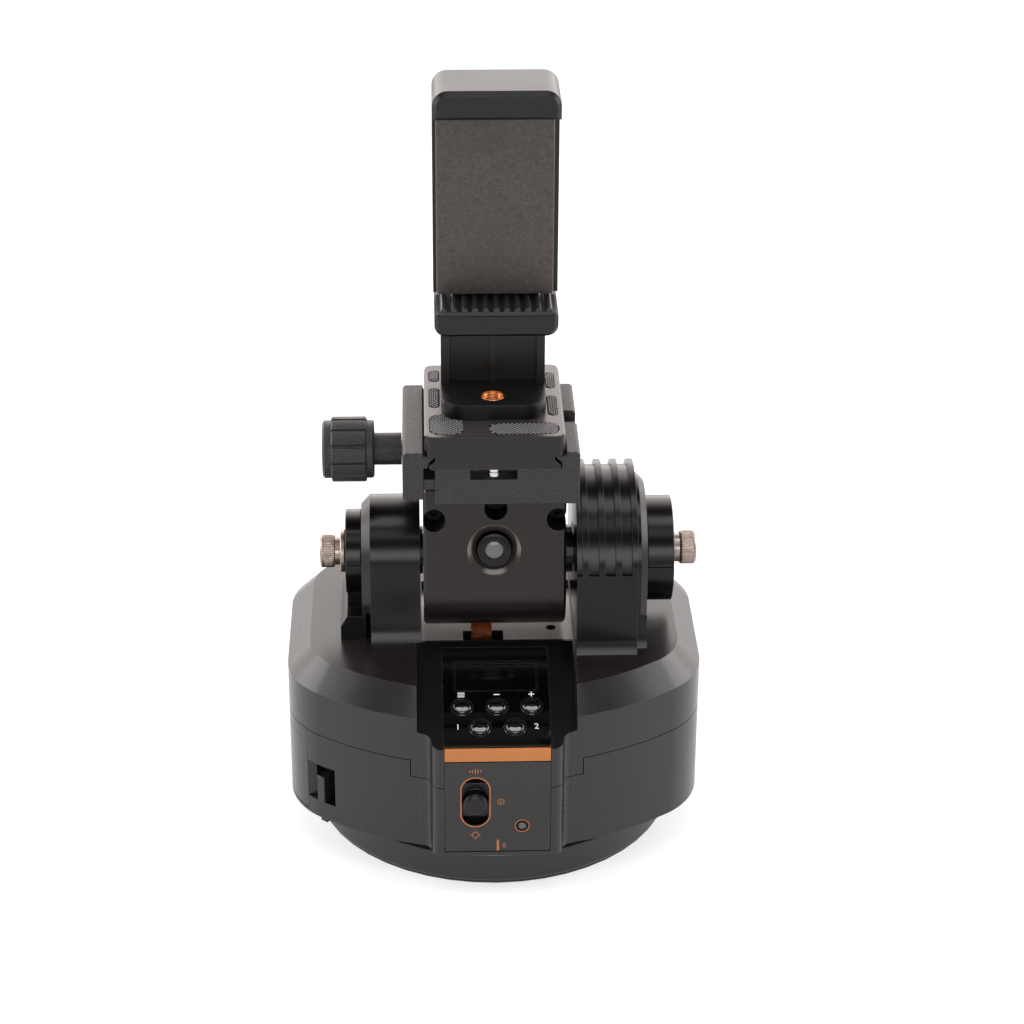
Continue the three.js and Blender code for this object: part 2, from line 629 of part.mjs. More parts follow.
function tiltBlock() {
  const pockets = boltPlaces().map(([, x, z]) => rod('y', 3.6, -30, -9, 16).translate(x, 0, z));
  const bores = boltPlaces().map(([, x, z]) => rod('y', 1.7, -20, -2, 12).translate(x, 0, z));
  const seat = onLensAxis(turned('y', [
    [0, -3], [LENS.bezel + 0.6, -3], [LENS.bezel, 0], [LENS.barrel + 0.4, 2.2], [LENS.barrel + 0.4, 14], [0, 14],
  ], 28));
  const cavity = block(-12, 12, -8.8, 6, 75, 106.2);
  const ribbonSlot = block(-8, 0.6, -7, -1, BLOCK.bottom - 1, 80);
  const socket = tiltRod(5.2, BLOCK.left - 1, BLOCK.left + 8, 24);
  const otherSocket = tiltRod(5.2, BLOCK.right - 8, BLOCK.right + 1, 24);
  const body = extruded('x', tiltOutline(), BLOCK.left, BLOCK.right, { curveSegments: 6, chamfer: 0.8 });
  return cut(body, ...pockets, ...bores, seat, cavity, ribbonSlot, socket, otherSocket);
}

function onLensAxis(geometry) {
  const slant = THREE.MathUtils.degToRad(BLOCK.lean);
  return geometry.rotateX(-slant).translate(0, faceY(LENS.z), LENS.z);
}

function addTiltHead(group) {
  addPart(group, 'tilt_block', tiltBlock(), FINISH.anodised);
  const leftShaft = turned('x', [
    [0, -34], [5, -34], [5, -23.2], [7.4, -23.2], [7.4, BLOCK.left - 0.1], [5, BLOCK.left - 0.1],
    [5, BLOCK.left + 7.5], [0, BLOCK.left + 7.5],
  ], 18);
  const rightShaft = turned('x', [
    [0, BLOCK.right - 7.5], [5, BLOCK.right - 7.5], [5, BLOCK.right + 0.1], [7.4, BLOCK.right + 0.1],
    [7.4, 24.5], [5, 24.5], [5, 29], [0, 29],
  ], 18);
  addPart(group, 'tilt_shaft_left', leftShaft.translate(0, 0, TILT_Z), FINISH.steel);
  addPart(group, 'tilt_shaft_right', rightShaft.translate(0, 0, TILT_Z), FINISH.steel);
  const { barrel, glass } = LENS;
  addPart(group, 'lens_barrel', onLensAxis(turned('y', [
    [0, 9.5], [0, 2.6], [glass + 0.2, 2.6], [glass + 0.2, -0.4], [barrel - 0.3, -0.4], [barrel, -0.1],
    [barrel, 9.5], [0, 9.5],
  ], 28)), FINISH.gloss);
  addPart(group, 'lens_glass', onLensAxis(turned('y', [
    [0, 0.2], [glass * 0.5, 0.4], [glass, 1.2], [glass, 2.4], [0, 2.4],
  ], 28)), FINISH.glass);
  addPart(group, 'camera_board', block(-10, 10, -7.4, -6.2, 84, 105.8), FINISH.board);
  for (const [name, x, z] of boltPlaces()) {
    const bolt = turned('y', [[0, -12.6], [2.8, -12.6], [2.8, -9.2], [1.5, -9.2], [1.5, -2.4], [0, -2.4]], 12);
    addPart(group, name, bolt.translate(x, 0, z), FINISH.clamp);
  }
}

function addFlexCable(group) {
  const route = new THREE.SplineCurve([
    new THREE.Vector2(-5.7, 88), new THREE.Vector2(-5.2, 80), new THREE.Vector2(-4.2, 71),
    new THREE.Vector2(-6, 66), new THREE.Vector2(-10.4, 63.2), new THREE.Vector2(-12, 59.5),
    new THREE.Vector2(-10.6, 55.2),
  ]);
  const steps = 24;
  const halfThick = 0.15;
  const one = [];
  const other = [];
  for (let i = 0; i <= steps; i += 1) {
    const point = route.getPoint(i / steps);
    const along = route.getTangent(i / steps);
    one.push([point.x + along.y * halfThick, point.y - along.x * halfThick]);
    other.unshift([point.x - along.y * halfThick, point.y + along.x * halfThick]);
  }
  addPart(group, 'flex_cable', extruded('x', polygon([...one, ...other]), -7, -0.6), FINISH.film);
}

// ---- quick-release clamp ------------------------------------------------------------------

// Half of the dovetail jaw in (x, z), drawn for the +X side.
function jawOutline(foot, inside, outside) {
  const { inner, lip, high } = JAW;
  const edge = 0.8;
  return [
    [outside, foot], [outside, high - edge], [outside - edge, high], [inner, high], [inner, PLATE.flange - 0.3],
    [lip, PLATE.flange - 0.3], [lip, 129.2], [PLATE.tail + 0.35, 127.7], [PLATE.tail + 0.35, inside], [inner, inside],
    [inner, foot],
  ];
}

function clampBase() {
  const { left, right, outer, front, back, bottom, top } = CLAMP;
  const slab = block(left, right, front, back, bottom, top);
  const fixed = extruded('y', polygon(jawOutline(bottom, bottom + 2, outer)), front, back);
  const notch = block(20, 30, -4, 4, 127.5, 140);
  const groove = block(-7.3, 6.6, front - 1, back + 1, 122.5, 130);
  const guide = (y0, y1) => block(-30, -11.6, y0, y1, 118.3, 122.5);
  const bore = rod('x', 3, -30, -8, 20).translate(0, 0, KNOB.z);
  return cut(fuse(slab, fixed), notch, groove, guide(-24.4, -13.6), guide(13.6, back + 1), bore);
}

function clampJaw() {
  const { low } = JAW;
  const mirrored = jawOutline(low, 125.1 + 1.1, JAW.outer).map(([x, z]) => [-x, z]);
  const profile = extruded('y', polygon(mirrored), CLAMP.front, CLAMP.back);
  const tongue = (y0, y1) => block(-JAW.inner - 1, -12, y0, y1, 118.6, 122.2);
  const bore = rod('x', 3, -40, -10, 20).translate(0, 0, KNOB.z);
  return cut(fuse(profile, tongue(-24, -14), tongue(14, CLAMP.back)), bore);
}

function clampKnob() {
  const { z, radius, collar, stem, ribs } = KNOB;
  const body = turned('x', [
    [0, -51.6], [collar - 0.8, -51.6], [collar, -50.8], [collar, -48.9], [radius, -48.9], [radius, -38.3],
    [collar, -38.3], [collar, -36], [stem, -36], [stem, -27.7], [0, -27.7],
  ], 24);
  const grooves = [];
  for (let i = 0; i < ribs; i += 1) {
    const groove = block(-49.5, -38, -0.55, 0.55, radius - 0.6, radius + 2);
    grooves.push(groove.rotateX((i * 2 * Math.PI) / ribs));
  }
  return cut(body, ...grooves, rod('x', 2.7, -46, -20, 20)).translate(0, 0, z);
}

function addClamp(group) {
  addPart(group, 'clamp_base', clampBase(), FINISH.clamp);
  addPart(group, 'clamp_jaw', clampJaw(), FINISH.clamp);
  addPart(group, 'clamp_knob', clampKnob(), FINISH.clamp);
  addPart(group, 'clamp_screw', rod('x', 2.5, -45.8, -8.4, 20).translate(0, 0, KNOB.z), FINISH.steel);
}

// ---- quick-release plate ------------------------------------------------------------------

function gripOutline(margin) {
  return roundedRectangle(-18.4 - margin, 18.4 + margin, -24 - margin, 23 + margin, 3);
}

function gripWindow(margin) {
  return roundedRectangle(-15.9 + margin, 15.9 - margin, -15.5 + margin, 16.9 - margin, 2);
}

function quickPlate() {
  const { half, front, back, top, flange, neck, tail, bottom } = PLATE;
  const edge = 0.6;
  const side = [[half, flange], [half, top - edge], [half - edge, top]];
  const dovetail = [[tail - 0.4, bottom], [tail, bottom + 0.4], [tail, 127.4], [neck, 129.2], [neck, flange]];
  const right = [...dovetail, ...side];
  const left = right.map(([x, z]) => [-x, z]).reverse();
  const bar = extruded('y', polygon([...right, ...left]), front, back);
  const plan = extruded('z', roundedRectangle(-half, half, front, back, 3), bottom - 1, top + 1);
  const inlay = cut(
    extruded('z', gripOutline(0.15), top - 0.5, top + 1),
    extruded('z', gripWindow(0.15), top - 1, top + 2),
  );
  const counterbore = rod('z', 6.3, bottom - 1, 129.8, 24).translate(0, 6, 0);
  const hole = rod('z', 3.5, bottom - 1, top + 1, 20).translate(0, 6, 0);
  return cut(common(bar, plan), inlay, counterbore, hole);
}

function addPlate(group) {
  const { top, bottom } = PLATE;
  addPart(group, 'quick_plate', quickPlate(), FINISH.anodised);
  const sheet = extruded('z', gripOutline(0), top - 0.45, top + 0.25);
  const grip = cut(sheet, extruded('z', gripWindow(0), top - 1, top + 2));
  addPart(group, 'plate_grip', grip, FINISH.rubber);
  addPart(group, 'plate_screw', turned('z', [
    [0, 126.8], [6, 126.8], [6, 129.6], [3.15, 129.6], [3.15, 141], [0, 141],
  ], 24).translate(0, 6, 0), FINISH.steel);
  const pin = turned('z', [[0, 122.9], [1.2, 122.9], [1.5, 123.2], [1.5, bottom - 0.1], [0, bottom - 0.1]], 16);
  addPart(group, 'plate_stop_pin', pin.translate(-0.3, -22.4, 0), FINISH.steel);
}

// ---- phone clip ---------------------------------------------------------------------------

function clipFrame() {
  const { half, footFront, footTop, jawLow, jawHigh, jawHalf, jawFront, centre } = CLIP;
  const footPlan = new THREE.Shape();
  footPlan.absarc(half - 7, footFront + 7, 7, -Math.PI / 2, 0);
  footPlan.lineTo(half, 15.5);
  footPlan.lineTo(-half, 15.5);
  footPlan.absarc(7 - half, footFront + 7, 7, Math.PI, 1.5 * Math.PI);
  const foot = extruded('z', footPlan, PLATE.top + 0.05, footTop, { curveSegments: 5 });
  const web = block(-half, half, 4, 7, footTop - 1, jawLow + 1);
  const flange = (x) => block(x - 1.2, x + 1.2, 0.8, 12, footTop - 1, jawLow + 1);
  const midRib = block(-0.6, 0.6, 2.4, 5, footTop - 1, jawLow + 1);
  const jawFace = roundedRectangle(centre - jawHalf, centre + jawHalf, jawLow, jawHigh + 8, 3.5);
  const jaw = common(
    extruded('y', jawFace, jawFront, 9, { curveSegments: 5, chamfer: 1 }),
    block(-40, 40, -40, 40, jawLow, jawHigh),
  );
  const rail = block(centre - 13, centre + 13, 3.6, 8.6, jawHigh - 1, 214);
  const springWay = block(centre - 2.6, centre + 2.6, 3, 8, 176, 215);
  const insertSeat = rod('z', 3.8, PLATE.top - 1, footTop + 1, 20).translate(-0.3, -8, 0);
  const screwSeat = rod('z', 3.4, PLATE.top - 1, footTop - 0.8, 20).translate(0, 6, 0);
  return cut(fuse(foot, web, flange(1.2 - half), flange(half - 1.2), midRib, jaw, rail),
    springWay, insertSeat, screwSeat);
}

function lowerPad() {
  const { jawHigh, jawFront, centre } = CLIP;
  const teeth = 10;
  const pitch = 3.4;
  const pieces = [block(centre - 17.6, centre + 17.6, jawFront + 0.4, 2.6, jawHigh + 0.05, jawHigh + 1.4)];
  for (let i = 0; i < teeth; i += 1) {
    const x = centre + (i - (teeth - 1) / 2) * pitch;
    pieces.push(block(x - 1, x + 1, jawFront + 0.4, 2.6, jawHigh + 1, jawHigh + 2.4));
  }
  return fuse(...pieces);
}

function upperJaw() {
  const { backLow, upperLow, upperHigh, jawHalf, jawFront, centre } = CLIP;
  const half = jawHalf + 0.2;
  const face = new THREE.Shape();
  face.moveTo(centre - half, upperLow);
  face.lineTo(centre + half, upperLow);
  face.absarc(centre + half - 4.5, upperHigh - 4.5, 4.5, 0, Math.PI / 2);
  face.absarc(centre - half + 4.5, upperHigh - 4.5, 4.5, Math.PI / 2, Math.PI);
  const hook = extruded('y', face, jawFront, 9.6, { curveSegments: 5, chamfer: 1.2 });
  const back = block(centre - half, centre + half, 0.6, 3.3, backLow, upperLow + 1);
  const sleeve = cut(
    block(centre - half, centre + half, 1, 11.2, backLow, upperLow + 1),
    block(centre - 13.4, centre + 13.4, 3.2, 9, 170, 244),
  );
  const peg = block(centre - 2, centre + 2, 3, 5, 213, 217);
  return cut(fuse(hook, back, sleeve, peg), block(centre - 13.4, centre + 13.4, 3.2, 9, 217.5, 226));
}

function addClip(group) {
  const { footTop, backLow, upperLow, centre } = CLIP;
  addPart(group, 'clip_frame', clipFrame(), FINISH.black);
  const insert = ring('z', 2.6, 3.6, footTop - 4.5, footTop + 0.1, 24).translate(-0.3, -8, 0);
  addPart(group, 'clip_insert', insert, FINISH.brass);
  addPart(group, 'clip_lower_pad', lowerPad(), FINISH.rubber);
  addPart(group, 'clip_upper_jaw', upperJaw(), FINISH.black);
  const pad = extruded('y', roundedRectangle(centre - 17.5, centre + 17.1, backLow, upperLow - 0.3, 1), -1.6, 0.5);
  addPart(group, 'clip_back_pad', pad, FINISH.rubber);
  addPart(group, 'clip_spring', rod('z', 1.8, 176.5, 212.7, 12).translate(centre, 5.6, 0), FINISH.steel);
}

// ---- assembly -----------------------------------------------------------------------------

const head = new THREE.Group();
addBase(head);
addPanDrive(head);
addShells(head);
addElectronics(head);
addControls(head);
addFascia(head);
addBatteryDoor(head);
addYoke(head);
addThumbScrews(head);
addTiltHead(head);
addFlexCable(head);
addClamp(head);
addPlate(head);
addClip(head);

export default head;
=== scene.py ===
"""Looks for a motorised pan and tilt head: materials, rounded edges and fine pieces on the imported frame."""

import json
import math

import bmesh
import bpy
from mathutils import Matrix, Vector


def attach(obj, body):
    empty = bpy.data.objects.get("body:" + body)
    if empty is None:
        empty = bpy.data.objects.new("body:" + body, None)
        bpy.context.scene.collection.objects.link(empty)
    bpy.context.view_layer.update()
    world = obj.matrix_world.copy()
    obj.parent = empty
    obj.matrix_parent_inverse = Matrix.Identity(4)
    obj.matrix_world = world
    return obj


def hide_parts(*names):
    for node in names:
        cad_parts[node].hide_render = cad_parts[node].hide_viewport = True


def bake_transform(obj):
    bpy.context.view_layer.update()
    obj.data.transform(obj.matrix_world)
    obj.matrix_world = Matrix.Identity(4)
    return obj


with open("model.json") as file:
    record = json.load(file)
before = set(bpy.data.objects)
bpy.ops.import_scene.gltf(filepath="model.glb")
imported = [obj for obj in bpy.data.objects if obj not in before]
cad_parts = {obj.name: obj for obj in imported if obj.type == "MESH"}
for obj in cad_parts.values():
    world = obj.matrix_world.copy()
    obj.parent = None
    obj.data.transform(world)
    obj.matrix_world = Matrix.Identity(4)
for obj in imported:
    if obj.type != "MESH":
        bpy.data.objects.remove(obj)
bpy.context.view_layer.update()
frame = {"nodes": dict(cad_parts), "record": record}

MM = 0.001
NODES = frame["nodes"]
BODY_OF = {node: body for body, nodes in frame["record"]["behaviour"]["bodies"].items() for node in nodes}
SLOT_OF = {part["node"]: part["material_slot"] for part in frame["record"]["subparts"]}

# Driving places, in millimetres, the same as the part's own.
TILT_Z = 86.0
SLOPE_TOP = Vector((0.0, -20.0, 64.5))
SLOPE_ANGLE = math.atan2(14.0, 40.0)
FACE_Y = -60.0
LENS_Z = 95.6
BLOCK_LEAN = math.radians(10.0)
LENS_FACE_Y = -(7.5 + 14.0 / math.cos(BLOCK_LEAN) - (LENS_Z - 80.0) * math.tan(BLOCK_LEAN))
KNOB_Z = 120.9
PLATE_TOP = 137.0
DECK_Z = 61.5
CLIP_CENTRE = 0.7
PLATE_CENTRE = -0.3
SPRING_Y = 5.6

# An edge turning by more than this many degrees is sharp.
SHARP_DEGREES = 32.0

# ---------------------------------------------------------------------------------------- materials


class Shader:
    """A Principled material with helpers for the textures that drive it."""

    def __init__(self, name, colour, roughness, metallic=0.0, **sockets):
        self.material = bpy.data.materials.new(name)
        self.material.use_nodes = True
        self.tree = self.material.node_tree
        self.shader = self.tree.nodes["Principled BSDF"]
        self.colour = colour
        self.roughness = roughness
        self.shader.inputs["Base Color"].default_value = (*colour, 1.0)
        self.shader.inputs["Roughness"].default_value = roughness
        self.shader.inputs["Metallic"].default_value = metallic
        for socket, value in sockets.items():
            self.shader.inputs[socket.replace("_", " ")].default_value = value
        self.place = self.tree.nodes.new("ShaderNodeTexCoord").outputs["Object"]
        self.normal = None
        self.base = None

    def node(self, kind, **values):
        made = self.tree.nodes.new(kind)
        for key, value in values.items():
            setattr(made, key, value)
        return made

    def link(self, source, target):
        self.tree.links.new(source, target)

    def stretched(self, scale):
        mapping = self.node("ShaderNodeMapping")
        mapping.inputs["Scale"].default_value = scale
        self.link(self.place, mapping.inputs["Vector"])
        return mapping.outputs["Vector"]

    def noise(self, per_mm, detail=4.0, rough=0.6, scale=(1, 1, 1)):
        made = self.node("ShaderNodeTexNoise")
        made.inputs["Scale"].default_value = per_mm / MM
        made.inputs["Detail"].default_value = detail
        made.inputs["Roughness"].default_value = rough
        self.link(self.stretched(scale), made.inputs["Vector"])
        return made.outputs["Fac"]

    def ranged(self, source, low, high, from_low=0.3, from_high=0.7):
        made = self.node("ShaderNodeMapRange")
        limits = {"From Min": from_low, "From Max": from_high, "To Min": low, "To Max": high}
        for socket, value in limits.items():
            made.inputs[socket].default_value = value
        self.link(source, made.inputs["Value"])
        return made.outputs["Result"]

    def mottle(self, source, amount):
        """Lets the colour drift lighter and darker by that share."""
        ramp = self.node("ShaderNodeValToRGB")
        ramp.color_ramp.elements[0].position = 0.3
        ramp.color_ramp.elements[1].position = 0.7
        for element, share in zip(ramp.color_ramp.elements, (1 - amount, 1 + amount)):
            element.color = (*[min(1.0, c * share) for c in self.colour], 1.0)
        self.link(source, ramp.inputs["Fac"])
        self.tint(ramp.outputs["Color"])

    def tint(self, source):
        self.base = source
        self.link(source, self.shader.inputs["Base Color"])

    def worn(self, share, rub=0.5):
        """Lets edges rub lighter, unevenly; share is how far towards the rubbed colour."""
        rounding = self.node("ShaderNodeBevel", samples=4)
        rounding.inputs["Radius"].default_value = 0.35 * MM
        flat = self.node("ShaderNodeNewGeometry").outputs["Normal"]
        match = self.node("ShaderNodeVectorMath", operation="DOT_PRODUCT")
        self.link(rounding.outputs["Normal"], match.inputs[0])
        self.link(flat, match.inputs[1])
        edge = self.ranged(match.outputs["Value"], share, 0.0, 0.90, 0.99)
        patch = self.ranged(self.noise(0.5, detail=5.0, rough=0.7), 0.2, 1.0)
        mask = self.node("ShaderNodeMath", operation="MULTIPLY")
        self.link(edge, mask.inputs[0])
        self.link(patch, mask.inputs[1])
        mix = self.node("ShaderNodeMix", data_type="RGBA")
        mix.inputs["B"].default_value = (*[min(1.0, c + (1 - c) * rub * 0.25) for c in self.colour], 1.0)
        self.link(mask.outputs["Value"], mix.inputs["Factor"])
        self.link(self.base, mix.inputs["A"])
        self.link(mix.outputs["Result"], self.shader.inputs["Base Color"])

    def uneven(self, source, amount):
        """Lets the roughness drift by that much either way."""
        low = max(0.0, self.roughness - amount)
        high = min(1.0, self.roughness + amount)
        self.link(self.ranged(source, low, high), self.shader.inputs["Roughness"])

    def bump(self, source, height_mm, strength=1.0):
        made = self.node("ShaderNodeBump")
        made.inputs["Distance"].default_value = height_mm * MM
        made.inputs["Strength"].default_value = strength
        self.link(source, made.inputs["Height"])
        if self.normal is not None:
            self.link(self.normal, made.inputs["Normal"])
        self.normal = made.outputs["Normal"]
        self.link(self.normal, self.shader.inputs["Normal"])


def moulded(name, colour, roughness, grain_mm, grain_height, drift=0.12, **sockets):
    """Moulded plastic: a fine spark-eroded grain, faint flow marks and handling smudges."""
    made = Shader(name, colour, roughness, **sockets)
    grain = made.noise(1.0 / grain_mm, detail=3.0)
    smudge = made.noise(0.06, detail=5.0, rough=0.7)
    made.mottle(made.noise(0.03, detail=3.0), drift)
    made.uneven(smudge, roughness * 0.07)
    made.bump(grain, grain_height)
    made.bump(made.noise(0.05, detail=1.0), 0.01, 0.3)
    made.worn(0.3)
    return made.material


def blasted(name, colour, roughness, metallic, grain_mm, grain_height, sparkle=0.35):
    """Bead-blasted and anodised metal: a coarse, slightly sparkling grain."""
    made = Shader(name, colour, roughness, metallic)
    fine = made.noise(1.0 / grain_mm, detail=2.0, rough=0.8)
    made.mottle(fine, sparkle)
    made.uneven(made.noise(0.7 / grain_mm, detail=2.0), roughness * 0.12)
    made.bump(fine, grain_height)
    made.worn(0.4, 0.8)
    return made.material


def turned_metal(name, colour, roughness, stretch):
    """Turned metal: a fine noise drawn out by the stretch given stands for the tool's marks."""
    made = Shader(name, colour, roughness, metallic=1.0)
    marks = made.noise(2.2, detail=6.0, rough=0.7, scale=stretch)
    made.mottle(made.noise(0.25, detail=4.0), 0.14)
    made.uneven(marks, roughness * 0.4)
    made.bump(marks, 0.012)
    return made.material


def foam_rubber():
    """Embossed foam: a leathery close grain with a dusty sheen."""
    made = Shader("foam_rubber", (0.046, 0.036, 0.033), 0.6, Sheen_Weight=0.15, Sheen_Roughness=0.5)
    cells = made.node("ShaderNodeTexVoronoi")
    cells.inputs["Scale"].default_value = 2.0 / MM
    made.link(made.stretched((1, 1, 1)), cells.inputs["Vector"])
    fine = made.noise(2.4, detail=4.0, rough=0.75)
    made.mottle(made.noise(1.1, detail=5.0, rough=0.85), 0.55)
    made.uneven(made.noise(0.4, detail=4.0), 0.1)
    made.bump(cells.outputs["Distance"], 0.05, 0.6)
    made.bump(fine, 0.05, 0.8)
    return made.material


def flex_film():
    """Amber polyimide film with copper tracks showing through it."""
    made = Shader("flex_film", (0.22, 0.05, 0.014), 0.28, Coat_Weight=0.4, Coat_Roughness=0.12)
    split = made.node("ShaderNodeSeparateXYZ")
    made.link(made.place, split.inputs["Vector"])
    wave = made.node("ShaderNodeMath", operation="PINGPONG")
    wave.inputs[1].default_value = 0.25 * MM
    made.link(split.outputs["X"], wave.inputs[0])
    track = made.ranged(wave.outputs["Value"], 0.0, 1.0, 0.10 * MM, 0.14 * MM)
    ramp = made.node("ShaderNodeValToRGB")
    ramp.color_ramp.elements[0].color = (0.16, 0.03, 0.008, 1)
    ramp.color_ramp.elements[1].color = (0.30, 0.075, 0.02, 1)
    made.link(track, ramp.inputs["Fac"])
    made.tint(ramp.outputs["Color"])
    made.bump(track, 0.03)
    made.uneven(made.noise(0.5), 0.06)
    return made.material


def circuit():
    """Green solder mask with faint tracks under it."""
    made = Shader("circuit", (0.012, 0.075, 0.035), 0.35, Coat_Weight=0.3)
    bricks = made.node("ShaderNodeTexBrick")
    bricks.inputs["Scale"].default_value = 0.25 / MM
    bricks.inputs["Color1"].default_value = (0.012, 0.075, 0.035, 1)
    bricks.inputs["Color2"].default_value = (0.014, 0.09, 0.042, 1)
    bricks.inputs["Mortar"].default_value = (0.03, 0.16, 0.075, 1)
    bricks.inputs["Mortar Size"].default_value = 0.03
    made.link(made.place, bricks.inputs["Vector"])
    made.tint(bricks.outputs["Color"])
    made.uneven(made.noise(0.5), 0.08)
    made.bump(bricks.outputs["Fac"], 0.02)
    return made.material


def printed(name, colour):
    """Screen-printed ink: slightly uneven cover."""
    made = Shader(name, colour, 0.45)
    made.mottle(made.noise(3.0, detail=3.0), 0.06)
    made.uneven(made.noise(2.0), 0.08)
    made.bump(made.noise(6.0, detail=2.0), 0.004)
    return made.material


LOOK = {
    "shell": moulded("shell_plastic", (0.0085, 0.0068, 0.0064), 0.28, 0.16, 0.005, Specular_IOR_Level=0.5),
    "pillar": moulded("pillar_plastic", (0.0026, 0.0021, 0.0019), 0.24, 0.18, 0.002, Specular_IOR_Level=0.24),
    "gloss": moulded("gloss_acrylic", (0.0012, 0.0012, 0.0013), 0.05, 0.5, 0.0004, Specular_IOR_Level=0.4),
    "screen": moulded("screen_glass", (0.0012, 0.0013, 0.0015), 0.07, 0.7, 0.0004, Specular_IOR_Level=0.5),
    "button": moulded("button_gloss", (0.0020, 0.0020, 0.0022), 0.08, 0.6, 0.0005, Coat_Weight=1.0),
    # deck: near-white colour on the strip between the pillars, a painted reflection of the bright backdrop
    "deck": moulded("deck_painted_reflection", (0.800, 0.735, 0.710), 0.30, 0.2, 0.003, 0.05),
    "rubber": moulded("grip_rubber", (0.0075, 0.0068, 0.0068), 0.42, 0.12, 0.01),
    "stud": moulded("stud_rubber", (0.0150, 0.0130, 0.0125), 0.30, 0.12, 0.004),
    "foam": foam_rubber(),
    "clip": moulded("clip_plastic", (0.0034, 0.0032, 0.0032), 0.32, 0.14, 0.004, Specular_IOR_Level=0.32),
    "clamp": blasted("clamp_metal", (0.0230, 0.0210, 0.0205), 0.50, 0.25, 0.50, 0.10, 0.9),
    "knob": blasted("knob_metal", (0.0170, 0.0158, 0.0155), 0.48, 0.25, 0.50, 0.10, 0.9),
    "block": blasted("block_metal", (0.0120, 0.0090, 0.0078), 0.32, 0.4, 0.35, 0.008, 0.35),
    "bezel": blasted("bezel_metal", (0.150, 0.128, 0.118), 0.25, 0.85, 0.10, 0.002, 0.15),
    "plate": blasted("plate_metal", (0.0080, 0.0062, 0.0056), 0.26, 0.35, 0.10, 0.003, 0.2),
    "plate_skin": blasted("plate_skin_metal", (0.070, 0.062, 0.060), 0.30, 0.6, 0.10, 0.003, 0.2),
    "steel_x": turned_metal("nickel_turned_x", (0.32, 0.262, 0.232), 0.38, (1, 0.12, 0.12)),
    "steel_z": turned_metal("steel_turned_z", (0.55, 0.53, 0.51), 0.3, (0.12, 0.12, 1)),
    "brass": turned_metal("insert_brass", (0.62, 0.24, 0.085), 0.35, (0.12, 0.12, 1)),
    "accent": moulded("accent_copper", (0.48, 0.168, 0.048), 0.45, 0.12, 0.006, 0.05, Specular_IOR_Level=0.3),
    "orange": printed("orange_ink", (0.40, 0.125, 0.038)),
    "white": printed("white_ink", (0.75, 0.75, 0.76)),
    "circuit": circuit(),
    "cell": moulded("cell_wrap", (0.02, 0.075, 0.19), 0.32, 0.3, 0.01),
    "film": flex_film(),
    "lens": moulded("lens_coating", (0.120, 0.117, 0.120), 0.35, 0.8, 0.001, Coat_Weight=0.3),
    "lamp": moulded("lamp_diffuser", (0.085, 0.088, 0.082), 0.3, 0.3, 0.004),
    # shadow: black standing in for shade, painted shade in wells, drive slots, bolt pockets and between studs
    "shadow": moulded("painted_shade_black", (0.0015, 0.0015, 0.0015), 0.7, 0.3, 0.01, Specular_IOR_Level=0.2),
}

LOOK_OF_SLOT = {
    "shell": "shell", "gloss_black": "pillar", "rubber": "rubber", "steel": "steel_z", "brass": "brass",
    "circuit": "circuit", "battery_wrap": "cell", "screen_glass": "screen", "accent": "accent",
    "clip_plastic": "clip", "anodised": "block", "clamp_metal": "clamp", "flex_film": "film",
}
LOOK_OF_NODE = {
    "display_panel": "gloss", "status_led": "lamp", "quick_plate": "plate", "clamp_knob": "knob",
    "left_thumb_screw": "steel_x", "right_thumb_screw": "steel_x", "lens_barrel": "gloss",
    "lens_glass": "lens", "clip_back_pad": "foam", "front_fascia": "shell",
    "tilt_shaft_left": "block", "tilt_shaft_right": "block",
    "block_bolt_left": "steel_x", "block_bolt_right": "steel_x", "block_bolt_centre": "steel_x",
}


def look_for(node):
    return LOOK[LOOK_OF_NODE.get(node, LOOK_OF_SLOT[SLOT_OF[node]])]


# ------------------------------------------------------------------------------------- mesh helpers


def shaded(mesh, degrees=SHARP_DEGREES):
    mesh.shade_smooth()
    mesh.set_sharp_from_angle(angle=math.radians(degrees))


def piece(name, bm, look, body, replaces=(), turn=None, degrees=SHARP_DEGREES, rides=True):
    """Turns a bmesh in millimetres into a named piece of the object, in metres."""
    mesh = bpy.data.meshes.new(name)
    bmesh.ops.recalc_face_normals(bm, faces=bm.faces)
    bm.to_mesh(mesh)
    bm.free()
    if turn is not None:
        mesh.transform(turn)
    mesh.transform(Matrix.Scale(MM, 4))
    mesh.materials.append(LOOK[look])
    shaded(mesh, degrees)
    made = bpy.data.objects.new(name, mesh)
    bpy.context.scene.collection.objects.link(made)
    if rides:
        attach(made, body)
    if replaces:
        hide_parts(*replaces)
    return made


def spun(profile, segments, bend=None):
    """A closed solid turned about Z from (radius, height) points; bend may change a radius on the way."""
    bm = bmesh.new()
    rings = []
    for radius, height in profile:
        if radius < 1e-6:
            rings.append([bm.verts.new((0, 0, height))])
            continue
        ring = []
        for i in range(segments):
            angle = 2 * math.pi * i / segments
            r = bend(radius, height, angle) if bend else radius
            ring.append(bm.verts.new((r * math.cos(angle), r * math.sin(angle), height)))
        rings.append(ring)
    for low, high in zip(rings, rings[1:]):
        join_rings(bm, low, high)
    if len(rings[0]) > 1 and len(rings[-1]) > 1:
        join_rings(bm, rings[-1], rings[0])
    return bm


def join_rings(bm, low, high):
    """Faces between two rings of vertices, or between a ring and a single point."""
    count = max(len(low), len(high))
    for i in range(count):
        j = (i + 1) % count
        if len(low) == 1:
            bm.faces.new((low[0], high[j], high[i]))
        elif len(high) == 1:
            bm.faces.new((low[i], low[j], high[0]))
        else:
            bm.faces.new((low[i], low[j], high[j], high[i]))


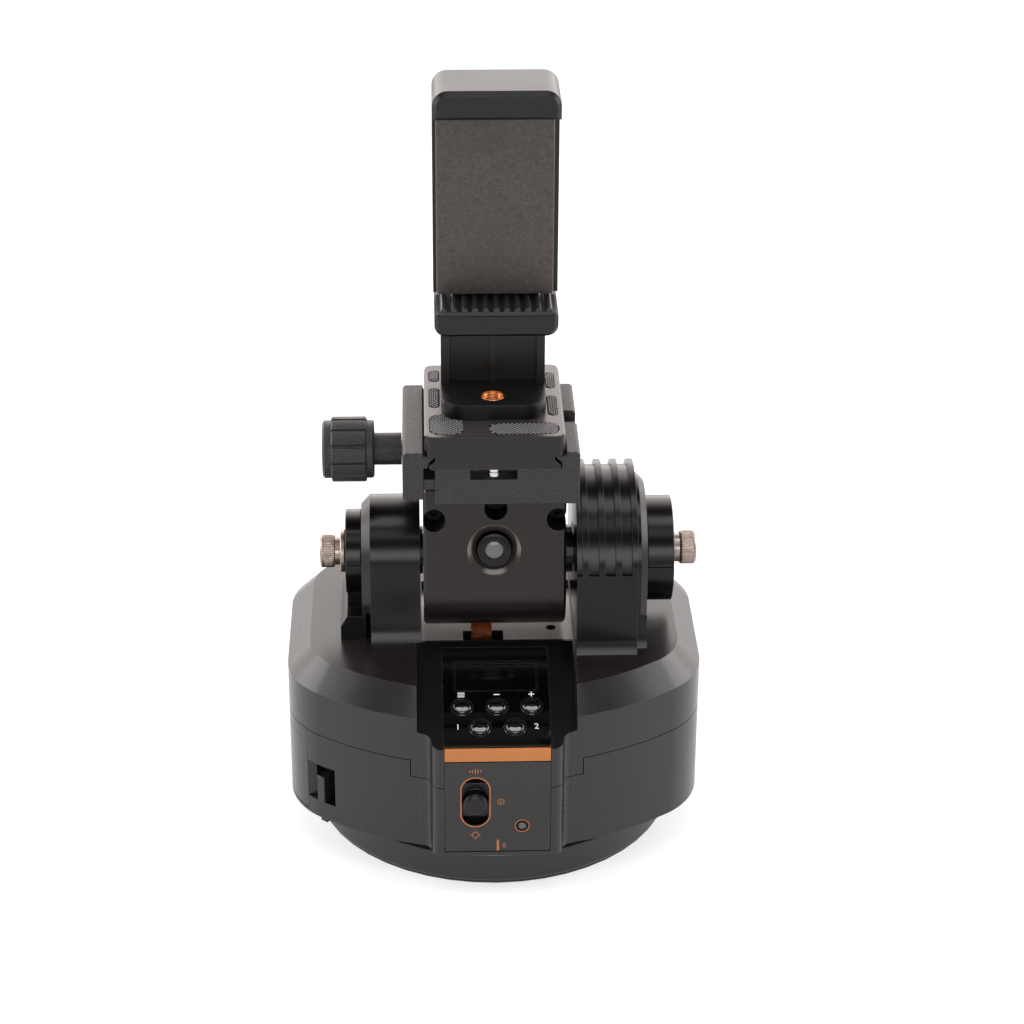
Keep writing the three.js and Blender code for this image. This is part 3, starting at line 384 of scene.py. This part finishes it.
def prism(outline, low, high):
    """A flat outline of (x, y) points between two heights."""
    bm = bmesh.new()
    top = [bm.verts.new((x, y, high)) for x, y in outline]
    bottom = [bm.verts.new((x, y, low)) for x, y in outline]
    bm.faces.new(top)
    bm.faces.new(bottom[::-1])
    for i in range(len(outline)):
        j = (i + 1) % len(outline)
        bm.faces.new((bottom[i], bottom[j], top[j], top[i]))
    return bm


def soften(bm, width, segments=2, degrees=30.0):
    """Rounds every edge that is sharper than that many degrees."""
    limit = math.radians(degrees)
    edges = [e for e in bm.edges if len(e.link_faces) == 2 and e.calc_face_angle(0) > limit]
    bmesh.ops.bevel(
        bm, geom=edges, offset=width, offset_type="OFFSET", segments=segments, profile=0.5,
        affect="EDGES", clamp_overlap=True,
    )
    return bm


def merged(*meshes):
    """Several bmeshes as one."""
    whole = bmesh.new()
    for bm in meshes:
        scratch = bpy.data.meshes.new("scratch")
        bm.to_mesh(scratch)
        bm.free()
        whole.from_mesh(scratch)
        bpy.data.meshes.remove(scratch)
    return whole


def moved(bm, matrix):
    bmesh.ops.transform(bm, matrix=matrix, verts=bm.verts)
    return bm


def rounded(x0, x1, y0, y1, radius, steps=6):
    """Outline of a rectangle with round corners."""
    corners = ((x1 - radius, y0 + radius, -90), (x1 - radius, y1 - radius, 0),
               (x0 + radius, y1 - radius, 90), (x0 + radius, y0 + radius, 180))
    points = []
    for cx, cy, start in corners:
        for i in range(steps + 1):
            angle = math.radians(start + 90 * i / steps)
            points.append((cx + radius * math.cos(angle), cy + radius * math.sin(angle)))
    return points


def circle(cx, cy, radius, steps=40):
    turn = 2 * math.pi / steps
    return [(cx + radius * math.cos(i * turn), cy + radius * math.sin(i * turn)) for i in range(steps)]


def frame_of(outline, inner, low, high):
    """A flat ring between two outlines with the same number of points."""
    bm = bmesh.new()
    corners = ((outline, low), (outline, high), (inner, high), (inner, low))
    loops = [[bm.verts.new((x, y, z)) for x, y in points] for points, z in corners]
    for one, other in zip(loops, loops[1:] + loops[:1]):
        join_rings(bm, one, other)
    return bm


SLOPE_TURN = Matrix.Translation(SLOPE_TOP) @ Matrix.Rotation(SLOPE_ANGLE, 4, "X")
FACE_TURN = Matrix.Translation((0, FACE_Y, 0)) @ Matrix.Rotation(math.pi / 2, 4, "X")
LENS_TURN = (
    Matrix.Translation((0, LENS_FACE_Y, LENS_Z))
    @ Matrix.Rotation(-BLOCK_LEAN, 4, "X")
    @ Matrix.Rotation(math.pi / 2, 4, "X")
)

# ------------------------------------------------------------------- CAD nodes with softened edges


def in_key_wells(line):
    """Tells whether an edge lies inside the case, at the inner ends of the wells under the sloping keys."""
    middle = (line.verts[0].co + line.verts[1].co) / (2.0 * MM)
    return abs(middle.x) < 17.0 and -43.0 < middle.y < -38.0 and 52.0 < middle.z < 57.0


def softened(node, width):
    """Stands for a CAD node with the same shape, its sharp edges rounded by a small radius."""
    bm = bmesh.new()
    bm.from_mesh(NODES[node].data)
    bmesh.ops.remove_doubles(bm, verts=bm.verts, dist=0.002 * MM)
    bmesh.ops.dissolve_limit(bm, angle_limit=math.radians(0.6), verts=bm.verts, edges=bm.edges)
    weight = bm.edges.layers.float.new("bevel_weight_edge")
    for line in bm.edges:
        spared = node == "upper_shell" and in_key_wells(line)
        if line.calc_face_angle(0.0) > math.radians(SHARP_DEGREES) and not spared:
            line[weight] = 1.0
    mesh = bpy.data.meshes.new(node + "_skin")
    bm.to_mesh(mesh)
    bm.free()
    mesh.materials.clear()
    mesh.materials.append(look_for(node))
    shaded(mesh)
    made = bpy.data.objects.new(node + "_skin", mesh)
    bpy.context.scene.collection.objects.link(made)
    edge = made.modifiers.new("edge", "BEVEL")
    edge.width = width * MM
    edge.segments = 3 if width > 0.5 else 2
    edge.limit_method = "WEIGHT"
    edge.use_clamp_overlap = True
    edge.miter_outer = "MITER_ARC"
    flatter = made.modifiers.new("flatter", "WEIGHTED_NORMAL")
    flatter.keep_sharp = True
    flatter.weight = 100
    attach(made, BODY_OF[node])
    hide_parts(node)
    return made


# The width of the rounded edge on each node, in millimetres.
SOFT_EDGES = {
    "lower_shell": 0.25, "upper_shell": 0.3, "left_pillar": 0.25, "right_pillar": 0.14, "left_hub_cap": 0.3,
    "right_hub_cap": 0.35, "tilt_block": 0.45, "clamp_base": 0.35, "clamp_jaw": 0.4, "quick_plate": 0.3,
    "clip_frame": 0.6, "clip_upper_jaw": 0.8, "front_fascia": 0.12, "accent_strip": 0.15, "battery_door": 0.3,
    "battery_latch": 0.25, "display_panel": 0.15, "base_disc": 0.25, "base_pad": 0.2, "mode_switch": 0.3,
    "status_led": 0.2, "usb_port": 0.15,
}


def soften_nodes():
    for node, width in SOFT_EDGES.items():
        made = softened(node, width)
        if node == "upper_shell":
            paint_top(made.data)


def paint_top(mesh):
    """The strip between the pillars is painted near-white, a painted reflection of the bright backdrop, and
    the slope round the keys is black.
    """
    mesh.materials.append(LOOK["deck"])
    mesh.materials.append(LOOK["pillar"])
    for face in mesh.polygons:
        x, _, z = face.center / MM
        # Strip between the pillars: painted reflection of the backdrop.
        if face.normal.z > 0.99 and abs(z - DECK_Z) < 0.3 and -23 < x < 25:
            face.material_index = 1
        elif face.normal.z > 0.9 and face.normal.y < -0.25 and abs(x) < 22:
            face.material_index = 2


def paint_nodes():
    """Every CAD node keeps a procedural material, shown or not."""
    for node, part in NODES.items():
        part.data.materials.clear()
        part.data.materials.append(look_for(node))
        shaded(part.data, 35.0)


# ----------------------------------------------------------------------------------- control face


def numeral(name, text, x, y, size, look, turn):
    """A printed number, centred on (x, y) of a flat face."""
    font = bpy.data.curves.new(name + "_outline", "FONT")
    font.body = text
    font.size = size
    font.align_x = "CENTER"
    font.align_y = "CENTER"
    font.resolution_u = 4
    scratch = bpy.data.objects.new(name + "_scratch", font)
    mesh = bpy.data.meshes.new_from_object(scratch)
    bm = bmesh.new()
    bm.from_mesh(mesh)
    bpy.data.objects.remove(scratch)
    bpy.data.meshes.remove(mesh)
    bmesh.ops.remove_doubles(bm, verts=bm.verts, dist=1e-4)
    grown = bmesh.ops.extrude_face_region(bm, geom=bm.faces[:])
    moved_up = [part for part in grown["geom"] if isinstance(part, bmesh.types.BMVert)]
    bmesh.ops.translate(bm, verts=moved_up, vec=(0, 0, 0.04))
    moved(bm, Matrix.Translation((x, y, 0)))
    return piece(name, bm, look, "pan_body", turn=turn)


def bar(x, y, wide, high):
    """Outline of a rectangle centred on (x, y)."""
    return [(x - wide / 2, y - high / 2), (x + wide / 2, y - high / 2),
            (x + wide / 2, y + high / 2), (x - wide / 2, y + high / 2)]


# Where each key stands: across the case, and down the slope from its top.
BUTTONS = {
    "button_menu": (-10.35, 25.9), "button_minus": (0.15, 25.9), "button_plus": (10.65, 25.9),
    "button_one": (-5.1, 33.9), "button_two": (5.4, 33.9),
}


def buttons():
    """Domed glossy keys, each in a thin raised collar."""
    dome = [(0, -3.9), (2.8, -3.9), (2.8, 0.25)]
    for i in range(1, 8):
        angle = math.radians(90 * i / 8)
        dome.append((2.8 - 0.75 * (1 - math.cos(angle)), 0.25 + 0.6 * math.sin(angle)))
    dome += [(1.6, 1.02), (1.0, 1.1), (0, 1.14)]
    collar = [(2.95, -0.6), (3.38, -0.6), (3.38, 0.1), (3.28, 0.22), (3.05, 0.22), (2.95, 0.1)]
    for name, (x, down) in BUTTONS.items():
        shift = Matrix.Translation((x, -down, 0))
        piece(name + "_dome", moved(spun(dome, 40), shift), "button", name + "_body",
              replaces=(name,), turn=SLOPE_TURN)
        piece(name + "_collar", moved(spun(collar, 40), shift), "button", "pan_body",
              turn=SLOPE_TURN)


def panel_marks():
    """White signs by the keys: three bars, minus, plus and two numbers."""
    y, ink = -21.2, 0.04
    marks = [prism(bar(-10.6, y + step, 2.1, 0.34), 0, ink) for step in (-0.7, 0.0, 0.7)]
    marks.append(prism(bar(0.15, y, 1.8, 0.36), 0, ink))
    marks.append(prism(bar(10.65, y, 1.8, 0.36), 0, ink))
    marks.append(prism(bar(10.65, y, 0.36, 1.8), 0, 0.045))
    piece("panel_marks", merged(*marks), "white", "pan_body", turn=SLOPE_TURN)
    numeral("panel_number_one", "1", -11.7, -33.7, 3.0, "white", SLOPE_TURN)
    numeral("panel_number_two", "2", 11.8, -33.7, 3.0, "white", SLOPE_TURN)


def display():
    """The dark window with its bevelled surround."""
    outer = rounded(-12.9, 12.9, -20.2, -8.0, 0.6)
    inner = rounded(-12.2, 12.2, -19.6, -9.3, 0.4)
    bm = soften(frame_of(outer, inner, -0.1, 0.28), 0.12, 2, 60.0)
    piece("display_surround", bm, "gloss", "pan_body", turn=SLOPE_TURN)
    piece("display_glass", prism(inner, 0.0, 0.02), "screen", "pan_body", turn=SLOPE_TURN)


def fascia():
    """Orange printing on the front face, and a black ring round the lamp, painted shade of its well."""
    x, low, high = -6.65, 23.2, 40.9
    ink, over = 0.03, 0.035
    outer = rounded(x - 4.55, x + 4.55, low, high, 4.5, 10)
    inner = rounded(x - 4.15, x + 4.15, low + 0.4, high - 0.4, 4.1, 10)
    slot = frame_of(outer, inner, 0, ink)
    ring = frame_of(circle(7.4, 23.5, 2.25), circle(7.4, 23.5, 1.95), 0, ink)
    well = frame_of(circle(7.4, 23.5, 1.95), circle(7.4, 23.5, 1.15), 0, 0.05)
    # painted shade: a black ring stands for the dark of the well round the lamp
    piece("lamp_well", well, "shadow", "pan_body", turn=FACE_TURN)
    index = prism(bar(0.1, 16.6, 0.75, 3.9), 0, ink)
    power = frame_of(circle(1.0, 32.2, 1.0), circle(1.0, 32.2, 0.78), 0, ink)
    power_bar = prism(bar(1.0, 32.2, 0.22, 1.0), 0, over)
    target = frame_of(circle(x, 20.4, 1.05), circle(x, 20.4, 0.83), 0, ink)
    ticks = [prism(bar(x + dx, 20.4 + dy, w, h), 0, over) for dx, dy, w, h in
             ((1.2, 0, 0.9, 0.2), (-1.2, 0, 0.9, 0.2), (0, 1.2, 0.2, 0.9), (0, -1.2, 0.2, 0.9))]
    waves = [prism(bar(x + 0.8 * i, 43.0, 0.28, 0.7 + 0.55 * (2 - abs(i))), 0, ink) for i in range(-2, 3)]
    marks = merged(slot, ring, index, power, power_bar, target, *ticks, *waves)
    piece("fascia_marks", marks, "orange", "pan_body", turn=FACE_TURN)
    numeral("fascia_number", "0", 2.0, 16.4, 2.2, "orange", FACE_TURN)


# ------------------------------------------------------------------------------------- turned pieces


def along_x(z):
    """Lays a turned piece along X, at that height."""
    return Matrix.Translation((0, 0, z)) @ Matrix.Rotation(math.pi / 2, 4, "Y")


def ridged(count, depth, low, high):
    """Straight knurling: fine grooves along the axis between two heights."""
    def bend(radius, height, angle):
        if not low < height < high:
            return radius
        return radius - depth * (1 - abs(math.sin(count * angle / 2)))
    return bend


def thumb_screws():
    """Nickel heads with fine straight knurling, on the tilt axis."""
    left = [(0, -53.3), (4.2, -53.3), (4.8, -53.15), (5.1, -52.7)]
    left += [(5.1, -52.4 + 0.25 * i) for i in range(12)]
    left += [(4.95, -48.95), (4.6, -48.7), (4.3, -48.65), (4.3, -47.05), (6.4, -47.0), (6.6, -46.8)]
    left += [(6.6, -45.9), (6.4, -45.6), (2, -45.6), (2, -35.4), (0, -35.4)]
    piece("left_thumb_screw_knurled", spun(left, 240, ridged(40, 0.16, -52.4, -49.4)), "steel_x",
          "left_screw_body", replaces=("left_thumb_screw",), turn=along_x(TILT_Z))
    right = [(0, 43.5), (2, 43.5), (2, 55.3), (4.5, 55.3), (4.5, 57.75), (4.8, 57.8), (5.05, 58.1)]
    right += [(5.2, 58.5 + 0.25 * i) for i in range(15)]
    right += [(5.1, 62.4), (4.7, 62.8), (4.2, 62.9), (0, 62.9)]
    piece("right_thumb_screw_knurled", spun(right, 240, ridged(40, 0.16, 58.6, 61.9)), "steel_x",
          "right_screw_body", replaces=("right_thumb_screw",), turn=along_x(TILT_Z))


def clamp_knob():
    """The clamp's knob: wide ribs between narrow grooves, a collar and a dished end cap."""
    ribs = 12

    def bend(radius, height, angle):
        if radius < 9.5:
            return radius
        place = (angle * ribs / (2 * math.pi)) % 1.0
        edge = min(place, 1 - place)
        groove = 1.0 - min(1.0, max(0.0, (edge - 0.075) / 0.03))
        return radius - 0.7 * groove

    body = [
        (0, -51.1), (6.8, -51.1), (7.2, -51.6), (8.2, -51.6), (8.8, -51.0), (8.8, -49.0), (9.55, -48.9),
        (9.9, -48.5), (9.9, -38.7), (9.55, -38.3), (8.8, -38.2), (8.8, -36.5), (8.3, -36.0), (4.9, -35.9),
        (4.9, -27.7), (0, -27.7),
    ]
    piece("clamp_knob_ribbed", spun(body, 288, bend), "knob", "knob_body",
          replaces=("clamp_knob",), turn=along_x(KNOB_Z), degrees=28)


def lens():
    """A flat black barrel face with the coated front element, set in a turned conical bezel."""
    barrel = [
        (0, -9.5), (5.2, -9.5), (5.2, -0.2), (5.05, 0.0), (4.9, 0.05), (3.0, 0.0), (2.85, -0.1), (2.8, -0.6),
        (0, -0.65),
    ]
    piece("lens_barrel_faced", spun(barrel, 64), "pillar", "tilt_head",
          replaces=("lens_barrel",), turn=LENS_TURN)
    bezel = [(5.62, -2.2), (5.62, -1.9), (7.75, 0.0), (8.0, 0.1), (8.15, 0.0), (8.15, -0.4), (6.1, -2.35)]
    piece("lens_bezel", spun(bezel, 72), "bezel", "tilt_head", turn=LENS_TURN)
    glass = [
        (0, -0.6), (2.7, -0.55), (2.7, -0.3), (2.3, -0.16), (1.5, -0.06), (1.1, -0.02), (1.0, -0.1),
        (0, -0.1),
    ]
    piece("lens_front_element", spun(glass, 48), "lens", "tilt_head",
          replaces=("lens_glass",), turn=LENS_TURN)


def hex_socket(radius, deep):
    """A bolt head's end with its hexagonal drive."""
    outer = circle(0, 0, radius, 36)
    hexed = []
    for i in range(36):
        angle = math.radians(10 * i)
        wedge = (angle % (math.pi / 3)) - math.pi / 6
        reach = 0.5 * radius / math.cos(wedge)
        hexed.append((reach * math.cos(angle), reach * math.sin(angle)))
    crown = [(x * 0.93, y * 0.93) for x, y in outer]
    levels = ((outer, -3.2), (outer, -0.25), (crown, 0), (hexed, 0), (hexed, -deep))
    bm = bmesh.new()
    loops = [[bm.verts.new((x, y, z)) for x, y in points] for points, z in levels]
    for one, other in zip(loops, loops[1:]):
        join_rings(bm, one, other)
    bm.faces.new(loops[0])
    bm.faces.new(loops[-1][::-1])
    return bm


def bolts():
    """Three socket heads in the front of the tilting block, painted black as painted shade deep in their
    pockets.
    """
    for name, x, z in (("left", -18.2, 105.0), ("right", 19.3, 105.0), ("centre", 0.5, 108.5)):
        turn = Matrix.Translation((x, -11.4, z)) @ Matrix.Rotation(math.pi / 2, 4, "X")
        # painted shade: the heads are black to stand for the dark of their pockets
        piece(f"block_bolt_{name}_head", hex_socket(2.8, 1.6), "shadow", "tilt_head",
              replaces=(f"block_bolt_{name}",), turn=turn)


def threads(radius, low, high, pitch, depth):
    """Profile of level rings that read as an internal thread."""
    points = []
    turns = int((high - low) / pitch)
    for i in range(turns):
        base = low + i * pitch
        points += [(radius, base), (radius - depth, base + pitch / 2)]
    points.append((radius, low + turns * pitch))
    return points


def insert_and_bush():
    """The clip's brass insert and the base's steel bush, both threaded inside."""
    inner = threads(3.0, 137.6, 141.9, 0.8, 0.4)
    insert = [(3.55, 137.5), (3.55, 141.95), (3.35, 142.1), (3.1, 142.1)] + inner[::-1]
    piece("clip_insert_threaded", spun(insert, 48), "brass", "plate_body",
          replaces=("clip_insert",), turn=Matrix.Translation((PLATE_CENTRE, -8, 0)))
    inner = threads(4.7, 1.2, 11.3, 1.2, 0.5)
    bush = [(7.1, 0.8), (7.1, 11.6), (4.8, 11.6)] + inner[::-1] + [(5.0, 0.8)]
    piece("tripod_bush_threaded", spun(bush, 48), "steel_z", "base", replaces=("tripod_bush",))


def stop_pin():
    """The pin under the front of the plate, with a turned groove."""
    body = [(0, 122.9), (1.4, 122.9), (1.8, 123.2), (1.8, 124.4), (1.5, 124.5), (1.5, 124.9), (1.8, 125.0),
            (1.8, 125.9), (1.6, 126.1), (0, 126.1)]
    piece("plate_stop_pin_turned", spun(body, 32), "steel_z", "plate_body",
          replaces=("plate_stop_pin",), turn=Matrix.Translation((PLATE_CENTRE, -22.9, 0)))


# ------------------------------------------------------------------------- pads, spring and cable


def inside(outline, x, y):
    """Whether a point lies in an outline."""
    hit = False
    for (x0, y0), (x1, y1) in zip(outline, outline[1:] + outline[:1]):
        if (y0 > y) != (y1 > y) and x < (x1 - x0) * (y - y0) / (y1 - y0) + x0:
            hit = not hit
    return hit


def knurled_pads():
    """Six rubber pads let into the plate, each covered in small flat-topped studs over a black ground,
    painted shade between the studs.
    """
    pads = [
        rounded(-19.4, -9.0, -24.5, -10.4, 3.4), rounded(-1.9, 19.2, -24.5, -16.6, 3.4),
        rounded(-19.4, -16.0, -5.6, 8.6, 1.6), rounded(16.0, 19.2, -11.8, 2.4, 1.5),
        rounded(-19.4, -16.0, 13.1, 21.5, 1.6), rounded(16.0, 19.2, 7.7, 19.3, 1.5),
    ]
    pitch, margin = 1.3, 0.4
    around = ((0, 0), (margin, 0), (-margin, 0), (0, margin), (0, -margin))
    ground = []
    studs = []
    for outline in pads:
        ground.append(prism(outline, PLATE_TOP - 0.3, PLATE_TOP + 0.06))
        xs = [x for x, _ in outline]
        ys = [y for _, y in outline]
        bm = bmesh.new()
        rows = int((max(ys) - min(ys)) / pitch * 2) + 1
        columns = int((max(xs) - min(xs)) / pitch) + 1
        for row in range(rows):
            for column in range(columns):
                x = min(xs) + (column + 0.5 * (row % 2)) * pitch
                y = min(ys) + row * pitch / 2
                if all(inside(outline, x + dx, y + dy) for dx, dy in around):
                    pyramid(bm, x, y, pitch * 0.37, PLATE_TOP + 0.05, 0.2)
        studs.append(bm)
    piece("plate_grip_pads", merged(*studs), "stud", "plate_body", replaces=("plate_grip",),
          degrees=20)
    # painted shade: the ground under the studs is black to stand for the shade between them
    piece("plate_grip_ground", merged(*ground), "shadow", "plate_body")


def plate_cover():
    """The plate's flat upper skin, which the six pads stand on."""
    outline = rounded(-20.25, 20.25, -25.45, 24.85, 2.5)
    skin = soften(prism(outline, PLATE_TOP - 0.35, PLATE_TOP + 0.03), 0.03, 1)
    piece("plate_top_skin", skin, "plate_skin", "plate_body")


def pyramid(bm, x, y, half, base, high):
    """A diamond stud with a small flat top."""
    ways = ((1, 0), (0, 1), (-1, 0), (0, -1))
    low = [bm.verts.new((x + dx * half, y + dy * half, base)) for dx, dy in ways]
    top = [bm.verts.new((x + dx * half * 0.6, y + dy * half * 0.6, base + high)) for dx, dy in ways]
    join_rings(bm, low, top)
    bm.faces.new(top)
    bm.faces.new(low[::-1])


def lower_jaw_pad():
    """Ribbed rubber on the lower jaw."""
    outline = rounded(CLIP_CENTRE - 17.6, CLIP_CENTRE + 17.6, -11.6, 2.5, 1.5)
    base = soften(prism(outline, 169.15, 170.4), 0.25)
    ribs = []
    for i in range(11):
        x = CLIP_CENTRE + (i - 5) * 3.1
        section = [
            (x - 1.0, 170.3), (x + 1.0, 170.3), (x + 0.75, 171.1),
            (x + 0.35, 171.5), (x - 0.35, 171.5), (x - 0.75, 171.1),
        ]
        rib = prism(section, -2.4, 11.4)
        ribs.append(moved(rib, Matrix.Rotation(math.pi / 2, 4, "X")))
    piece("clip_lower_pad_ribbed", merged(base, *ribs), "rubber", "plate_body",
          replaces=("clip_lower_pad",))


def back_pad():
    """The foam pad behind the phone: a soft crowned slab."""
    outline = rounded(CLIP_CENTRE - 17.4, CLIP_CENTRE + 17.0, 171.9, 228.6, 1.0)
    bm = moved(prism(outline, -0.45, 1.55), Matrix.Rotation(math.pi / 2, 4, "X"))
    soften(bm, 0.5, 3)
    made = piece("clip_back_pad_foam", bm, "foam", "clip_upper_body",
                 replaces=("clip_back_pad",))


def coil_spring():
    """The clip's tension spring, which in the object stretches with the upper jaw; here it is a fixed coil
    that does not follow the jaw.
    """
    turns, radius, wire, low, high = 24, 1.45, 0.28, 177.0, 212.4
    path, steps = [], 14
    for i in range(turns * steps + 1):
        angle = 2 * math.pi * i / steps
        x = CLIP_CENTRE + radius * math.cos(angle)
        y = SPRING_Y + radius * math.sin(angle)
        path.append(Vector((x, y, low + (high - low) * i / (turns * steps))))
    bm = bmesh.new()
    previous = None
    for i, point in enumerate(path):
        ahead = (path[min(i + 1, len(path) - 1)] - path[max(i - 1, 0)]).normalized()
        out = Vector((point.x - CLIP_CENTRE, point.y - SPRING_Y, 0)).normalized()
        up = ahead.cross(out)
        ring = [bm.verts.new(point + wire * (out * math.cos(a) + up * math.sin(a)))
                for a in (2 * math.pi * k / 6 for k in range(6))]
        if previous:
            join_rings(bm, previous, ring)
        else:
            bm.faces.new(ring)
        previous = ring
    bm.faces.new(previous)
    made = piece("clip_spring_coil", bm, "steel_z", "plate_body", rides=False)
    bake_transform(made)
    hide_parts("clip_spring")


def flex_cable():
    """The printed cable between the body and the tilting block."""
    bm = bmesh.new()
    bm.from_mesh(NODES["flex_cable"].data)
    bmesh.ops.remove_doubles(bm, verts=bm.verts, dist=0.002 * MM)
    bmesh.ops.transform(bm, matrix=Matrix.Scale(1 / MM, 4), verts=bm.verts)
    made = piece("flex_cable_film", bm, "film", "pan_body", rides=False)
    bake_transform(made)
    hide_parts("flex_cable")


# ------------------------------------------------------------------------------ small added details


def small_screw(name, x, y, z, axis, body, radius):
    """A low screw head with a black cross laid on it, painted shade standing in for the recessed drive."""
    profile = [(0, -1.2), (radius, -1.2), (radius, -0.2), (radius * 0.85, 0.05), (0, 0.12)]
    bm = spun(profile, 24)
    arms = [prism(bar(0, 0, radius * 1.1, radius * 0.24), 0.02, 0.16),
            prism(bar(0, 0, radius * 0.24, radius * 1.1), 0.02, 0.17)]
    turn = Matrix.Translation((x, y, z)) @ axis
    piece(name, bm, "knob", body, turn=turn)
    # painted shade: a black cross stands for the recessed drive
    piece(name + "_drive_painted_shade", merged(*arms), "shadow", body, turn=turn)


def underside():
    """Four screws under the base disc."""
    down = Matrix.Rotation(math.pi, 4, "X")
    ring, height = 34, 1.25
    for i in range(4):
        angle = math.radians(45 + 90 * i)
        x, y = ring * math.cos(angle), ring * math.sin(angle)
        small_screw(f"base_screw_{i + 1}", x, y, height, down, "base", 2.2)


# ------------------------------------------------------------------------------ camera, light, floor


def camera():
    """The camera, in front of the object and a little above it."""
    azimuth, elevation, distance = math.radians(-2.0), math.radians(27.2), 0.850
    target = Vector((0.00593, 0.0, 0.0988))
    back = Vector((math.sin(azimuth) * math.cos(elevation), -math.cos(azimuth) * math.cos(elevation),
                   math.sin(elevation)))
    data = bpy.data.cameras.new("camera")
    data.sensor_width = 36.0
    data.lens = 97.1
    data.clip_end = 20.0
    made = bpy.data.objects.new("camera", data)
    made.location = target + distance * back
    roll = Matrix.Rotation(math.radians(0.3), 3, "Z")
    made.rotation_euler = ((-back).to_track_quat("-Z", "Y").to_matrix() @ roll).to_euler()
    bpy.context.scene.collection.objects.link(made)
    bpy.context.scene.camera = made


def softbox(name, place, wide, high, watts):
    """A white rectangular light aimed at the object."""
    data = bpy.data.lights.new(name, "AREA")
    data.shape = "RECTANGLE"
    data.size = wide
    data.size_y = high
    data.energy = watts
    made = bpy.data.objects.new(name, data)
    made.location = place
    made.rotation_euler = (Vector((0, 0, 0.1)) - Vector(place)).to_track_quat("-Z", "Y").to_euler()
    bpy.context.scene.collection.objects.link(made)


def studio_air():
    """Bright behind the object, dim in front of it and dark overhead."""
    world = bpy.data.worlds.new("studio_air")
    world.use_nodes = True
    tree = world.node_tree
    place = tree.nodes.new("ShaderNodeTexCoord")
    split = tree.nodes.new("ShaderNodeSeparateXYZ")
    tree.links.new(place.outputs["Generated"], split.inputs["Vector"])
    shares = []
    for axis, start, end, low, high in (("Z", 0.60, 0.84, 1.0, 0.01), ("Y", -0.45, 0.55, 0.07, 3.2)):
        band = tree.nodes.new("ShaderNodeMapRange")
        limits = {"From Min": start, "From Max": end, "To Min": low, "To Max": high}
        for socket, value in limits.items():
            band.inputs[socket].default_value = value
        tree.links.new(split.outputs[axis], band.inputs["Value"])
        shares.append(band.outputs["Result"])
    both = tree.nodes.new("ShaderNodeMath")
    both.operation = "MULTIPLY"
    for socket, share in zip(both.inputs, shares):
        tree.links.new(share, socket)
    back = tree.nodes["Background"]
    back.inputs["Color"].default_value = (1.0, 0.93, 0.91, 1)
    tree.links.new(both.outputs["Value"], back.inputs["Strength"])
    return world


def studio():
    """A pale floor, five soft lights and the air round them."""
    bm = bmesh.new()
    bmesh.ops.create_grid(bm, x_segments=1, y_segments=1, size=3000)
    mesh = bpy.data.meshes.new("floor")
    bm.to_mesh(mesh)
    bm.free()
    mesh.transform(Matrix.Scale(MM, 4))
    made = Shader("floor_paper", (0.4, 0.4, 0.4), 0.9, Emission_Color=(1, 1, 1, 1), Emission_Strength=0.62)
    mesh.materials.append(made.material)
    floor = bpy.data.objects.new("floor", mesh)
    bpy.context.scene.collection.objects.link(floor)
    softbox("light_left", (-1.3, 0.15, 0.6), 1.0, 1.1, 12.0)
    softbox("light_right", (1.3, 0.15, 0.6), 1.0, 1.1, 12.0)
    softbox("light_over", (0, -0.06, 1.4), 1.2, 0.46, 7.0)
    softbox("light_upper", (0, -0.70, 1.28), 1.4, 0.42, 3.5)
    softbox("light_front", (0, -1.45, 0.55), 0.9, 0.5, 7.5)
    bpy.context.scene.world = studio_air()
    bpy.context.scene.view_settings.view_transform = "Standard"


# -------------------------------------------------------------------------------------------- build

camera()
paint_nodes()
soften_nodes()
buttons()
panel_marks()
display()
fascia()
thumb_screws()
clamp_knob()
lens()
bolts()
insert_and_bush()
stop_pin()
plate_cover()
knurled_pads()
lower_jaw_pad()
back_pad()
coil_spring()
flex_cable()
underside()
studio()
